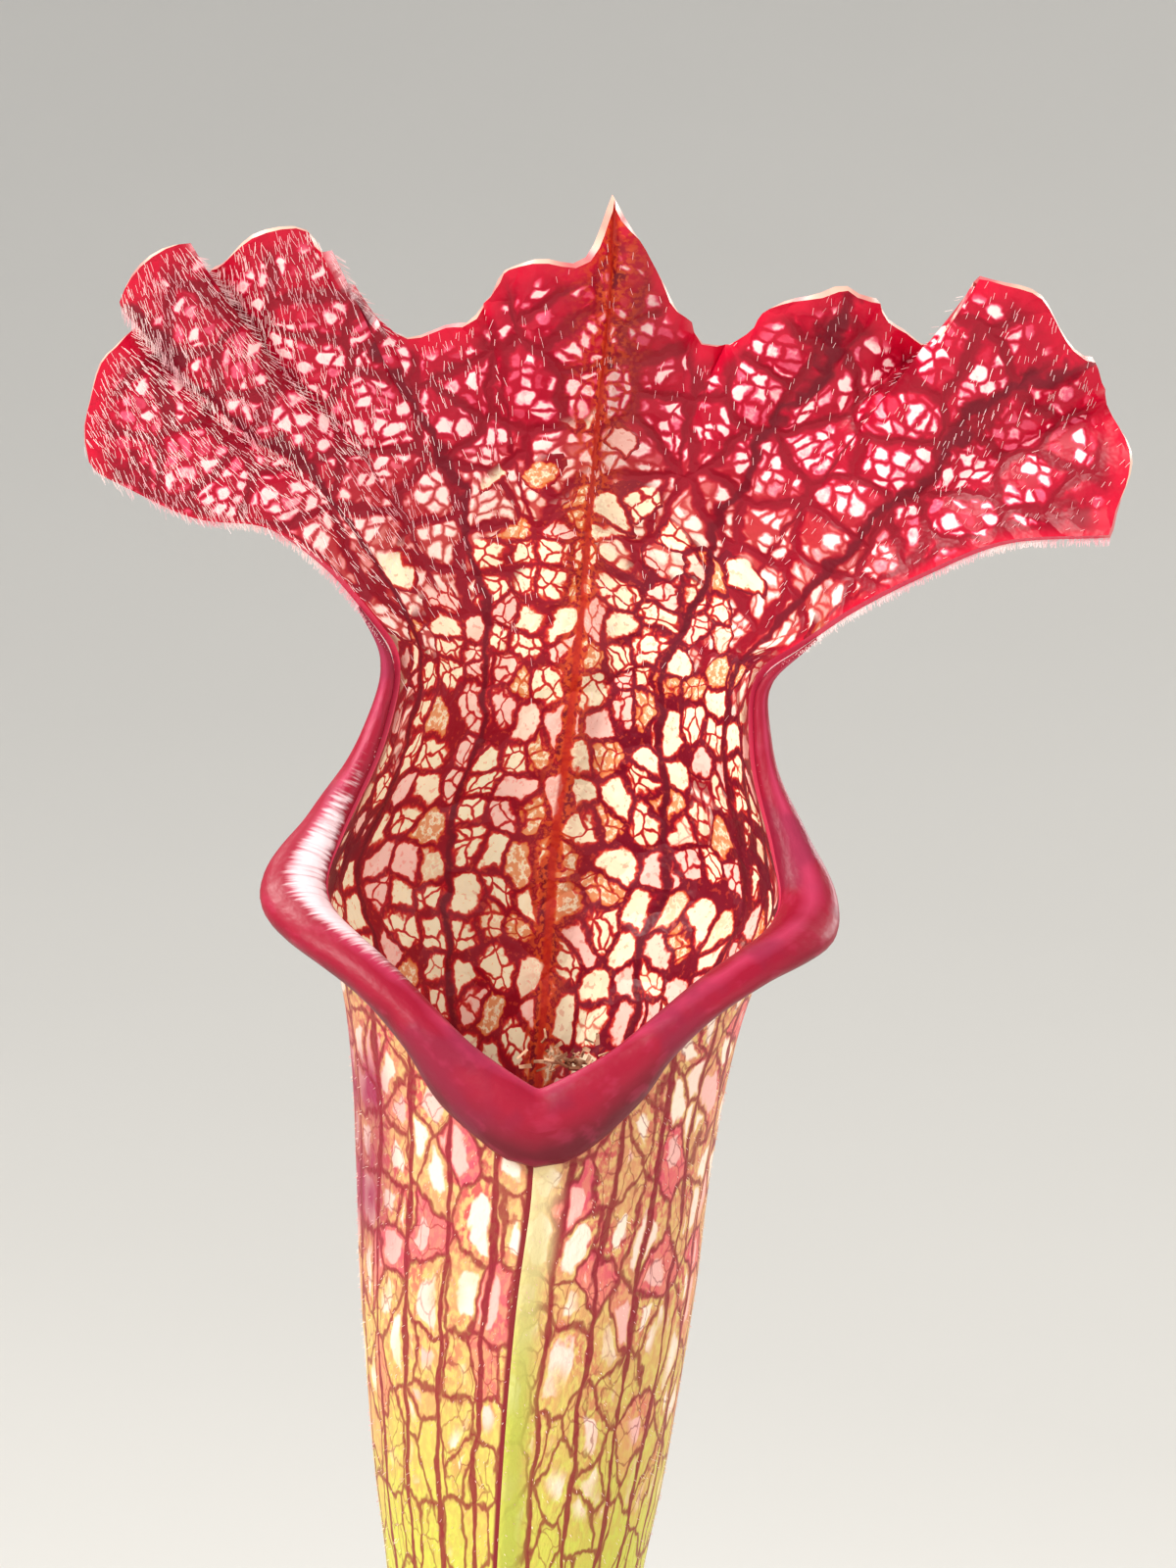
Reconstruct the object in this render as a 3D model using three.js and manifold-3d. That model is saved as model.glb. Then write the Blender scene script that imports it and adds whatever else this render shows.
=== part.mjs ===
// A pitcher plant hybrid in its pot: one tall ruffled pitcher, three shorter ones, a furled young
// one and two flat leaves, growing from a creeping rootstock in a pot of peat.
// Millimetres, +Z up. The origin is the middle of the pot's foot and the tall mouth faces -Y.
import * as THREE from "three";
import { mergeVertices } from "three/addons/utils/BufferGeometryUtils.js";
import Module from "manifold-3d";

const wasm = await Module();
wasm.setup();

// Driving dimensions
const pot = {
  footRadius: 44,
  neckRadius: 57,
  rimRadius: 61,
  height: 110,
  wall: 1.8,
  floor: 2.6,
  bandHeight: 14,
  footChamfer: 1.6,
  rimRound: 1,
  rimTaper: 0.8, // the inside opens out by this much in the rim band
  sides: 40,
};
const drain = { count: 8, radius: 4, ringRadius: 30, sides: 12 };
const soil = {
  top: 98,
  skirt: 4, // height of its upright edge against the pot
  mound: { height: 3, radius: 30 },
  lumps: [
    { height: 0.5, across: 0.33, away: 0.2, phase: 1.3 },
    { height: 0.45, across: -0.24, away: 0.31, phase: 0.2 },
    { height: 0.3, across: 0.46, away: -0.41, phase: 2.1 },
  ],
  rings: 6,
  sides: 32,
  middleRadius: 3,
};
const fitGap = 0.35; // between pieces that touch
const socket = { depth: 14, sides: 16, slack: 0.1 }; // the room round a leaf's foot
const leafWall = 0.8;
const footSlant = 0.12; // the share of its sideways reach that a tube takes up at its foot

const rootstock = {
  path: [[-38, 16, 93], [-24, 12, 96], [-8, 5, 97], [6, 0, 97], [19, -4, 95]],
  radius: [[0, 3], [0.12, 6.5], [0.35, 8], [0.6, 12.5], [0.82, 12], [0.95, 8.5], [1, 5]],
  ridge: 0.5, // old leaf scars stand out as rings
  ridgeCount: 9,
  flatten: 0.72,
  rings: 18,
  sides: 12,
};

// Leaf placing. A leaf starts at root, and head is the lowest point of its lip on the tube's axis.
// facing turns the mouth from -Y towards +X, and leanRight and leanBack tip the tube's top, in degrees.
// rows are the mesh's steps along the tube, the mouth and the lid, and columns go round it.
const tallPitcher = {
  name: "pitcher_tall",
  root: [1, 6, 98],
  head: [9, 2, 324],
  scale: 1,
  facing: 0,
  leanRight: 2.7,
  leanBack: -1,
  cavity: 150,
  columns: 44,
  rows: { tube: 10, mouth: 7, lid: 8 },
  lipSteps: 30,
  lipSides: 8,
};
const shortPitcher = {
  columns: 24,
  rows: { tube: 7, mouth: 4, lid: 5 },
  lipSteps: 18,
  lipSides: 6,
};
const shortPitchers = [
  {
    ...shortPitcher,
    name: "pitcher_left",
    root: [-9, 1, 98],
    head: [-47, -12, 214],
    scale: 0.66,
    facing: 34,
    leanRight: -16,
    leanBack: 4,
    cavity: 80,
  },
  {
    ...shortPitcher,
    name: "pitcher_right",
    root: [11, 1, 97],
    head: [48, 16, 204],
    scale: 0.72,
    facing: -28,
    leanRight: 14,
    leanBack: 8,
    cavity: 78,
  },
  {
    ...shortPitcher,
    name: "pitcher_front",
    root: [3, -8, 98],
    head: [10, -40, 166],
    scale: 0.54,
    facing: 12,
    leanRight: 6,
    leanBack: -15,
    cavity: 46,
  },
];
const furledPitcher = {
  name: "pitcher_furled",
  path: [[-4, 10, 98], [-11, 20, 140], [-17, 32, 190], [-19, 40, 236]],
  halfWidth: [[0, 2.6], [0.2, 2.4], [0.45, 3.2], [0.68, 5.2], [0.8, 6.4], [0.9, 5.2], [0.97, 2], [1, 0.6]],
  flatness: [[0, 1], [0.5, 0.85], [0.8, 0.55], [1, 0.5]],
  rings: 16,
  sides: 10,
};
const flatLeaves = [
  {
    name: "flat_leaf_left",
    path: [[-12, 9, 97], [-24, 22, 130], [-40, 36, 170], [-60, 46, 204]],
    face: [0.55, -0.8, 0.2],
  },
  {
    name: "flat_leaf_right",
    path: [[14, -6, 96], [26, -14, 122], [42, -24, 146], [63, -34, 158]],
    face: [-0.75, 0.35, 0.6],
  },
];
const flatLeaf = {
  halfWidth: [[0, 2.2], [0.25, 3.4], [0.55, 5.6], [0.8, 4.2], [0.95, 1.6], [1, 0.5]],
  thickness: 1.1,
  channel: 0.26, // how far the blade's edges curl forward, as a share of its half-width
  rib: 1.3, // how much thicker it is behind its middle
  rings: 14,
};

// The flared top of a pitcher at full size. Heights are along the tube's axis from the lip's lowest point,
// x is to the right of someone who looks into the mouth and y is away from them.
const halfWidth = profile([
  [-260, 3.5], [-225, 3.3], [-170, 3.8], [-130, 4.5], [-95, 5.4], [-65, 6.6], [-45, 8], [-31, 9.5],
  [-23.5, 10.7], [-16, 11.6], [-8.5, 12.4], [0, 13], [8.5, 14], [13, 15], [17, 16.6], [20, 17], [23, 16.2],
  [29, 14.2], [35.5, 13.3],
]);
const halfDepth = profile([
  [-260, 3.2], [-225, 3], [-170, 3.6], [-130, 4.4], [-95, 5.4], [-65, 6.7], [-45, 8.1], [-31, 9.6],
  [-16, 11.4], [0, 12.9], [8, 13.4], [14, 13.6], [20, 13.4], [28, 11.4], [35.5, 8.2],
]);
const centreX = profile([[0, 0], [19, 0.5], [35.5, 1.5]]);
const centreY = profile([[0, 0], [8, 0.2], [14, 0.6], [20, 1.2], [28, 2.8], [35.5, 4.4]]);
const keel = profile([[-260, 0.5], [-200, 1.5], [-120, 2], [-60, 1.6], [-20, 1], [0, 0.6], [6, 0]]);
// How far the tube is twisted, in degrees towards the left seen from the front
const twist = profile([[-260, 18], [-120, 12], [-29, 6.5], [-8, 3], [0, 0]]);
const lipLow = 7.3; // height of the mouth's front edge
const columnTop = 35.5; // height where the column turns into the lid
// How far the wall reaches round from the back, in degrees to each side
const wrap = profile([
  [lipLow, 180], [9, 168], [10.2, 160], [11.8, 152], [13.5, 144], [15, 137], [16.5, 128], [17.8, 116],
  [19, 102], [21, 93], [24, 88], [29, 82], [columnTop, 77],
]);
// The lip's width outwards and its height, and how far it laps over the wall's edge
const lipOut = profile([
  [lipLow, 3.2], [14, 3.4], [17, 4.2], [19, 5.2], [24, 3.4], [29, 2.3], [columnTop, 1.6],
]);
const lipDown = profile([
  [lipLow, 5.6], [10, 4.6], [12.5, 3.7], [15.5, 3], [19, 3.2], [24, 2.8], [30, 2], [columnTop, 1.4],
]);
const lipLap = { inwards: 0.9, upwards: 0.9 };
const lidTip = [2.4, -2.5, 70.3];
const lidSpine = [
  [1.5, 12.6, columnTop], [1.7, 11.4, 42], [1.9, 9.2, 49], [2.2, 5.8, 56], [2.5, 1.6, 63], lidTip,
];
// The lid's outline on each side: its lower edge from the column to the corner, and its frill from there
// to the tip
const lidEdges = {
  left: {
    lower: [
      [-13.4, 5, 38.1], [-16.9, 3, 42.2], [-21.4, 1, 45.3], [-26.5, -0.5, 46], [-32.4, -2, 48.8],
    ],
    frill: [
      [-32.4, -2, 48.8], [-34.1, -2.4, 51.2], [-33.8, -3, 54], [-33, -2.6, 57.3], [-30.5, 1, 59.6],
      [-31.6, -2.6, 61.8], [-29.8, -4.4, 64.3], [-27.6, -3, 65.3], [-26.8, 1.4, 62.7], [-22.4, -2.5, 66.4],
      [-18.9, -2, 66.6], [-17.2, 1, 64], [-15.2, 3, 61.2], [-12.2, 4.5, 59.3], [-9.6, 4, 59.8],
      [-6.6, 2, 61.5], [-4.9, -1, 64.4], [-2.6, -2.5, 65.8], [0.5, -1.5, 65.6], lidTip,
    ],
  },
  right: {
    lower: [[17.3, 5, 37.6], [21.4, 3, 41], [26.3, 1, 44.1], [31.6, -1, 46.8], [38.8, -3, 47.8]],
    frill: [
      [38.8, -3, 47.8], [40.1, -2, 53.7], [38.1, 0, 57.5], [37.2, -2, 59.9], [34.5, -4, 62],
      [32.3, -5, 65], [28.4, -4.6, 65.8], [27.6, -1, 62.2], [25.5, 2.4, 60.2], [23.2, 1.5, 61.9],
      [20.3, -1.5, 64.3], [17.4, -2, 64.3], [14.6, -1, 63.1], [13.3, 1, 61.3], [10.9, 4, 59.5],
      [8.6, 3.5, 60.7], [6.4, 1, 64.2], [4.5, -1, 67], lidTip,
    ],
  },
};

// A smooth curve through [position, value] knots, read at one position
function profile(knots) {
  const rise = (i) => (knots[i + 1][1] - knots[i][1]) / (knots[i + 1][0] - knots[i][0]);
  const last = knots.length - 1;
  const slopes = knots.map((_, i) => {
    if (i === 0) return rise(0);
    if (i === last) return rise(last - 1);
    return (rise(i - 1) + rise(i)) / 2;
  });
  return (position) => {
    const x = THREE.MathUtils.clamp(position, knots[0][0], knots[last][0]);
    let i = 0;
    while (i < last - 1 && x > knots[i + 1][0]) i += 1;
    const [x0, y0] = knots[i];
    const [x1, y1] = knots[i + 1];
    const span = x1 - x0;
    const t = (x - x0) / span;
    const ease = t * t * (3 - 2 * t);
    const pull = t * (1 - t);
    return y0 + (y1 - y0) * ease + span * pull * ((1 - t) * slopes[i] - t * slopes[i + 1]);
  };
}

// The point a share of the way along a smooth curve through 3-D points
function curveThrough(points) {
  const curve = new THREE.CatmullRomCurve3(
    points.map((p) => new THREE.Vector3(...p)),
    false,
    "centripetal",
  );
  return (share) => curve.getPointAt(THREE.MathUtils.clamp(share, 0, 1));
}

// A closed skin built point by point
class Skin {
  points = [];
  triangles = [];

  add(point) {
    this.points.push(point.x, point.y, point.z);
    return this.points.length / 3 - 1;
  }

  quad(a, b, c, d) {
    this.triangles.push(a, b, c, a, c, d);
  }

  // Closes a ring of points with a fan from its middle. The fan faces the side from which the ring runs
  // anticlockwise.
  cap(ring) {
    const middle = new THREE.Vector3();
    ring.forEach((i) => middle.add(new THREE.Vector3(...this.points.slice(3 * i, 3 * i + 3))));
    const centre = this.add(middle.divideScalar(ring.length));
    ring.forEach((i, k) => this.triangles.push(i, ring[(k + 1) % ring.length], centre));
  }

  geometry() {
    return new THREE.BufferGeometry()
      .setAttribute("position", new THREE.Float32BufferAttribute(this.points, 3))
      .setIndex(this.triangles);
  }
}

// A solid through rings of points. Each ring runs anticlockwise seen from the last ring's end.
function loft(rings) {
  const skin = new Skin();
  const indices = rings.map((ring) => ring.map((p) => skin.add(p)));
  for (let i = 0; i + 1 < indices.length; i += 1) {
    indices[i].forEach((a, k) => {
      const next = (k + 1) % indices[i].length;
      skin.quad(a, indices[i][next], indices[i + 1][next], indices[i + 1][k]);
    });
  }
  skin.cap([...indices[0]].reverse());
  skin.cap(indices.at(-1));
  return skin.geometry();
}

// Solids for joining and cutting, and back to geometry
function solidOf(geometry) {
  const bare = geometry.clone();
  ["normal", "uv"].forEach((attribute) => bare.deleteAttribute(attribute));
  const merged = mergeVertices(bare, 1e-4);
  return new wasm.Manifold(
    new wasm.Mesh({
      numProp: 3,
      vertProperties: merged.attributes.position.array,
      triVerts: new Uint32Array(merged.index.array),
    }),
  );
}

function geometryOf(solid) {
  const mesh = solid.getMesh();
  return new THREE.BufferGeometry()
    .setAttribute("position", new THREE.Float32BufferAttribute(mesh.vertProperties, mesh.numProp))
    .setIndex(new THREE.BufferAttribute(mesh.triVerts, 1));
}

const steps = (count) => Array.from({ length: count + 1 }, (_, i) => i / count);

// The tube's axis from root to head, and the head's own frame
function leafAxis(leaf) {
  const turn = new THREE.Matrix4()
    .makeRotationZ(THREE.MathUtils.degToRad(leaf.facing))
    .multiply(new THREE.Matrix4().makeRotationY(THREE.MathUtils.degToRad(leaf.leanRight)))
    .multiply(new THREE.Matrix4().makeRotationX(THREE.MathUtils.degToRad(-leaf.leanBack)));
  const headUp = new THREE.Vector3(0, 0, 1).transformDirection(turn);
  const headBack = new THREE.Vector3(0, 1, 0).transformDirection(turn);
  const root = new THREE.Vector3(...leaf.root);
  const head = new THREE.Vector3(...leaf.head);
  const reach = head.distanceTo(root) / 3;
  const out = new THREE.Vector3(head.x - root.x, head.y - root.y, 0).multiplyScalar(footSlant);
  const curve = new THREE.CubicBezierCurve3(
    root,
    root.clone().add(out).add(new THREE.Vector3(0, 0, reach)),
    head.clone().addScaledVector(headUp, -reach),
    head,
  );
  const length = curve.getLength();
  // The middle of the tube at a height at or below the lip, with its directions there
  const frameAt = (height) => {
    const share = THREE.MathUtils.clamp(1 + height / length, 0, 1);
    const up = curve.getTangentAt(share);
    const middle = curve.getPointAt(share);
    const back = headBack.clone().addScaledVector(up, -headBack.dot(up)).normalize();
    const beyond = Math.min(height + length, 0) + Math.max(height, 0);
    return { middle: middle.addScaledVector(up, beyond), up, back, right: back.clone().cross(up) };
  };
  return { length, frameAt };
}

// A point of the pitcher's wall below the lid. side runs from -1 at the front, round the back, to 1 at the
// front, where the keel stands out. grow moves the wall outwards.
function wallPoint(leaf, axis, height, side, { grow = 0, keeled = true } = {}) {
  const h = height / leaf.scale;
  const angle = THREE.MathUtils.degToRad(side * wrap(Math.max(h, lipLow)) + twist(Math.min(h, 0)));
  const ridge = keeled && Math.abs(side) === 1 ? keel(h) : 0;
  const { middle, right, back, up } = axis.frameAt(Math.min(height, 0));
  const across = leaf.scale * (centreX(h) + (halfWidth(h) + ridge) * Math.sin(angle));
  const behind = leaf.scale * (centreY(h) + (halfDepth(h) + ridge) * Math.cos(angle));
  return middle
    .addScaledVector(right, across + grow * Math.sin(angle))
    .addScaledVector(back, behind + grow * Math.cos(angle))
    .addScaledVector(up, Math.max(height, 0));
}

// A point of the lid: a patch between the column's top, the frill, the lower edge and the midrib
function lidPoint(leaf, axis, side, share) {
  const edges = side < 0 ? lidEdges.left : lidEdges.right;
  const inwards = 1 - Math.abs(side); // 0 on the lid's edge, 1 on its midrib
  const columnPoint = (s) => {
    const angle = THREE.MathUtils.degToRad(s * wrap(columnTop));
    return new THREE.Vector3(
      centreX(columnTop) + halfWidth(columnTop) * Math.sin(angle),
      centreY(columnTop) + halfDepth(columnTop) * Math.cos(angle),
      columnTop,
    );
  };
  const columnEnd = columnPoint(Math.sign(side) || 1);
  const lower = curveThrough([columnEnd.toArray(), ...edges.lower])(share);
  const spine = curveThrough(lidSpine)(share);
  const frill = curveThrough(edges.frill);
  const bend = share * share;
  const blended = lower.clone().lerp(spine, inwards);
  const bottomOff = columnPoint(side).sub(columnEnd.clone().lerp(columnPoint(0), inwards));
  const topOff = frill(inwards).sub(frill(0).lerp(frill(1), inwards));
  const local = blended.addScaledVector(bottomOff, 1 - bend).addScaledVector(topOff, bend);
  local.multiplyScalar(leaf.scale);
  const frame = axis.frameAt(0);
  return frame.middle
    .addScaledVector(frame.right, local.x)
    .addScaledVector(frame.back, local.y)
    .addScaledVector(frame.up, local.z);
}

// Heights of the wall's rows, closer together towards the mouth
function wallHeights(leaf, axis) {
  const low = leaf.scale * lipLow;
  const tube = steps(leaf.rows.tube).map((t) => -axis.length * (1 - t) ** 1.5 + low * t);
  const mouth = steps(leaf.rows.mouth).map((t) => low + leaf.scale * (columnTop - lipLow) * t);
  return [...tube, ...mouth.slice(1)];
}

// The hollow leaf: a grid of columns and rows for the outside, its copy a wall's thickness inwards, and
// the strip along the mouth and the lid's edge that joins the two
function leafSolid(leaf, axis) {
  const sides = steps(leaf.columns).map((t) => 2 * t - 1);
  const heights = wallHeights(leaf, axis);
  const frontRow = leaf.rows.tube; // the last row that is a closed ring
  const grid = heights.map((h) => sides.map((side) => wallPoint(leaf, axis, h, side)));
  steps(leaf.rows.lid)
    .slice(1)
    .forEach((share) => grid.push(sides.map((side) => lidPoint(leaf, axis, side, share))));
  const last = leaf.columns;
  const inwards = (row, column) => {
    const closed = row <= frontRow;
    const wrapped = (c) => (closed ? (c + last) % last : THREE.MathUtils.clamp(c, 0, last));
    const along = grid[Math.min(row + 1, grid.length - 1)][column].clone().sub(grid[row - 1][column]);
    const across = grid[row][wrapped(column + 1)].clone().sub(grid[row][wrapped(column - 1)]);
    return across.cross(along).normalize();
  };
  const cavityRow = heights.findIndex((h) => h > -leaf.cavity);
  const skin = new Skin();
  const outer = grid.map((row) => row.map((p) => skin.add(p)));
  const inner = grid.map((row, j) => {
    if (j < cavityRow) return null;
    return row.map((p, k) => {
      const flat = j <= frontRow && k === last ? 0 : k; // a closed ring ends where it starts
      const seam = j < frontRow && flat === 0;
      const from = seam ? wallPoint(leaf, axis, heights[j], -1, { keeled: false }) : p.clone();
      return skin.add(from.addScaledVector(inwards(j, flat), leafWall));
    });
  });
  for (let j = 0; j + 1 < grid.length; j += 1) {
    for (let k = 0; k < last; k += 1) {
      skin.quad(outer[j][k], outer[j + 1][k], outer[j + 1][k + 1], outer[j][k + 1]);
      if (inner[j]) skin.quad(inner[j][k], inner[j][k + 1], inner[j + 1][k + 1], inner[j + 1][k]);
    }
    if (j >= frontRow) {
      skin.quad(outer[j][0], inner[j][0], inner[j + 1][0], outer[j + 1][0]);
      skin.quad(outer[j][last], outer[j + 1][last], inner[j + 1][last], inner[j][last]);
    }
  }
  const top = grid.length - 1;
  for (let k = 0; k < last; k += 1) {
    skin.quad(outer[top][k], inner[top][k], inner[top][k + 1], outer[top][k + 1]);
  }
  skin.cap(outer[0].slice(0, last));
  skin.cap(inner[cavityRow].slice(0, last).reverse());
  return solidOf(skin.geometry());
}

// The rolled lip: an oval bead that follows the mouth's edge, outside it and over the front
function lipSolid(leaf, axis) {
  const half = steps(leaf.lipSteps / 2);
  const heights = [
    ...half.map((t) => columnTop - (columnTop - lipLow) * t),
    ...half.slice(1).map((t) => lipLow + (columnTop - lipLow) * t),
  ];
  const front = leaf.lipSteps / 2;
  const rim = heights.map((h, i) => wallPoint(leaf, axis, leaf.scale * h, i < front ? -1 : 1));
  const { middle, up } = axis.frameAt(0);
  const rings = rim.map((point, i) => {
    const ahead = rim[Math.min(i + 1, rim.length - 1)];
    const along = ahead.clone().sub(rim[Math.max(i - 1, 0)]).normalize();
    const out = point.clone().sub(middle);
    out.addScaledVector(up, -out.dot(up)).normalize();
    out.addScaledVector(along, -out.dot(along)).normalize();
    const down = along.clone().cross(out);
    const halfOut = (leaf.scale * lipOut(heights[i])) / 2;
    const halfDown = (leaf.scale * lipDown(heights[i])) / 2;
    const centre = point
      .clone()
      .addScaledVector(out, halfOut - leaf.scale * lipLap.inwards)
      .addScaledVector(down, halfDown - leaf.scale * lipLap.upwards);
    return steps(leaf.lipSides)
      .slice(1)
      .map((t) =>
        centre
          .clone()
          .addScaledVector(out, halfOut * Math.cos(2 * Math.PI * t))
          .addScaledVector(down, halfDown * Math.sin(2 * Math.PI * t)),
      );
  });
  return solidOf(loft(rings));
}

// The room that a leaf's foot takes in the rootstock and the soil
function leafSocket(leaf, axis) {
  const rows = wallHeights(leaf, axis);
  const top = rows.findIndex((h) => h > socket.depth - axis.length);
  const heights = [-axis.length - fitGap, ...rows.slice(1, top + 1)];
  const rings = heights.map((height) =>
    steps(socket.sides)
      .slice(0, -1)
      .map((u) => wallPoint(leaf, axis, height, 1 - 2 * u, { grow: fitGap + socket.slack })),
  );
  return solidOf(loft(rings));
}

// The directions at a share of the way along a path. face is roughly the way that the flat side looks.
function pathFrame(path, share, face) {
  const step = 0.01;
  const along = path(share + step).sub(path(share - step)).normalize();
  const facing = new THREE.Vector3(...face);
  facing.addScaledVector(along, -facing.dot(along)).normalize();
  return { along, facing, across: along.clone().cross(facing) };
}

// A ring of points round a path, with its own width and depth
function pathRing(path, share, face, sides, width, depth) {
  const { facing, across } = pathFrame(path, share, face);
  return steps(sides)
    .slice(1)
    .map((t) =>
      path(share)
        .addScaledVector(facing, depth * Math.cos(2 * Math.PI * t))
        .addScaledVector(across, width * Math.sin(2 * Math.PI * t)),
    );
}

function rootstockSolid(grow = 0) {
  const path = curveThrough(rootstock.path);
  const radius = profile(rootstock.radius);
  const rings = steps(rootstock.rings).map((share) => {
    const ring = rootstock.ridge * Math.cos(2 * Math.PI * rootstock.ridgeCount * share);
    const r = radius(share) + ring * Math.min(1, 4 * share * (1 - share));
    const upwards = [0, 0, 1];
    const { along } = pathFrame(path, share, upwards);
    return pathRing(path, share, upwards, rootstock.sides, r + grow, rootstock.flatten * r + grow).map(
      (point) => point.addScaledVector(along, grow * (2 * share - 1)),
    );
  });
  return solidOf(loft(rings));
}

function furledSolid(grow = 0) {
  const path = curveThrough(furledPitcher.path);
  const width = profile(furledPitcher.halfWidth);
  const flatness = profile(furledPitcher.flatness);
  const rings = steps(furledPitcher.rings).map((share) => {
    const w = width(share);
    return pathRing(path, share, [0.3, -1, 0], furledPitcher.sides, w + grow, w * flatness(share) + grow);
  });
  return solidOf(loft(rings));
}

// A sword-shaped leaf: a thin channel with a thicker middle
function flatLeafSolid(leaf, grow = 0) {
  const path = curveThrough(leaf.path);
  const width = profile(flatLeaf.halfWidth);
  const rings = steps(flatLeaf.rings).map((share) => {
    const { facing, across } = pathFrame(path, share, leaf.face);
    const w = width(share) + grow;
    const curl = flatLeaf.channel * w;
    const thick = flatLeaf.thickness / 2 + grow;
    // across and forward places of the outline, anticlockwise seen from the leaf's tip
    const outline = [
      [w, curl], [w / 2, curl / 4 + thick], [0, thick], [-w / 2, curl / 4 + thick],
      [-w, curl], [-w / 2, curl / 4 - thick], [0, -flatLeaf.rib * thick], [w / 2, curl / 4 - thick],
    ];
    return outline
      .map(([a, f]) => path(share).addScaledVector(across, a).addScaledVector(facing, f))
      .reverse();
  });
  return solidOf(loft(rings));
}

// The pot's inner radius at a height, down its taper and up its rim band
function potInside(z) {
  const neckHeight = pot.height - pot.bandHeight;
  const taper = pot.footRadius + ((pot.neckRadius - pot.footRadius) * Math.min(z, neckHeight)) / neckHeight;
  return taper - pot.wall;
}

function potSolid() {
  const neckHeight = pot.height - pot.bandHeight;
  const { rimRadius, rimRound } = pot;
  const outline = [
    [0, 0],
    [pot.footRadius - pot.footChamfer, 0],
    [pot.footRadius, pot.footChamfer],
    [pot.neckRadius, neckHeight],
    [rimRadius - rimRound, neckHeight + rimRound],
    [rimRadius, pot.height - rimRound],
    [rimRadius - rimRound, pot.height],
    [rimRadius - pot.wall - pot.rimTaper, pot.height],
    [potInside(neckHeight), neckHeight],
    [potInside(pot.floor), pot.floor],
    [0, pot.floor],
  ];
  const shell = solidOf(
    new THREE.LatheGeometry(outline.map(([r, z]) => new THREE.Vector2(r, z)), pot.sides).rotateX(Math.PI / 2),
  );
  const holes = steps(drain.count)
    .slice(1)
    .map((t) => {
      const hole = new THREE.CylinderGeometry(drain.radius, drain.radius, 4 * pot.floor, drain.sides);
      const angle = 2 * Math.PI * t;
      hole.rotateX(Math.PI / 2);
      hole.translate(drain.ringRadius * Math.cos(angle), drain.ringRadius * Math.sin(angle), 0);
      return solidOf(hole);
    });
  return holes.reduce((made, hole) => made.subtract(hole), shell);
}

// The peat: it fills the pot, with a lumpy top that rises towards the plant
function soilSolid() {
  const bottom = pot.floor + fitGap;
  const ringAt = (radius, height) =>
    steps(soil.sides)
      .slice(1)
      .map((t) => {
        const angle = 2 * Math.PI * t;
        return new THREE.Vector3(radius * Math.cos(angle), radius * Math.sin(angle), height(angle));
      });
  const surface = (radius) => (angle) => {
    const x = radius * Math.cos(angle);
    const y = radius * Math.sin(angle);
    const mound = soil.mound.height * Math.exp(-((radius / soil.mound.radius) ** 2));
    return soil.lumps.reduce(
      (z, lump) => z + lump.height * Math.sin(lump.across * x + lump.away * y + lump.phase),
      soil.top + mound,
    );
  };
  // clear of the pot's flat facets, which lie inside its round
  const wallRadius = (z) => potInside(z) * Math.cos(Math.PI / pot.sides) - fitGap;
  const skirt = soil.top - soil.skirt;
  const rings = [
    ringAt(wallRadius(bottom) - 1, () => bottom),
    ringAt(wallRadius(skirt), () => skirt),
    ...steps(soil.rings)
      .map((t) => THREE.MathUtils.lerp(wallRadius(skirt), soil.middleRadius, t))
      .map((radius) => ringAt(radius, surface(radius))),
  ];
  return solidOf(loft(rings));
}

function piece(name, solid, colour, roughness, metalness = 0) {
  const mesh = new THREE.Mesh(
    geometryOf(solid),
    new THREE.MeshStandardMaterial({ color: colour, roughness, metalness }),
  );
  mesh.name = name;
  return mesh;
}

const pitchers = [tallPitcher, ...shortPitchers].map((leaf) => ({ leaf, axis: leafAxis(leaf) }));
const feet = [
  ...pitchers.map(({ leaf, axis }) => leafSocket(leaf, axis)),
  furledSolid(fitGap),
  ...flatLeaves.map((leaf) => flatLeafSolid(leaf, fitGap)),
];
const cutFeet = (solid) => feet.reduce((made, foot) => made.subtract(foot), solid);

const plant = new THREE.Group();
plant.add(piece("pot", potSolid(), 0x2b2c2b, 0.6));
plant.add(piece("soil", cutFeet(soilSolid().subtract(rootstockSolid(fitGap))), 0x3a2a1e, 1));
plant.add(piece("rootstock", cutFeet(rootstockSolid()), 0x5a3424, 0.85));
pitchers.forEach(({ leaf, axis }) => {
  plant.add(piece(leaf.name, leafSolid(leaf, axis).add(lipSolid(leaf, axis)), 0xb8263f, 0.45));
});
plant.add(piece(furledPitcher.name, furledSolid(), 0x9aa83c, 0.5));
flatLeaves.forEach((leaf) => plant.add(piece(leaf.name, flatLeafSolid(leaf), 0x6f8f2e, 0.5)));

export default plant;
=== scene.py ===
import math

import bmesh
import bpy
import numpy as np
from mathutils import Euler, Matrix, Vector, noise


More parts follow.
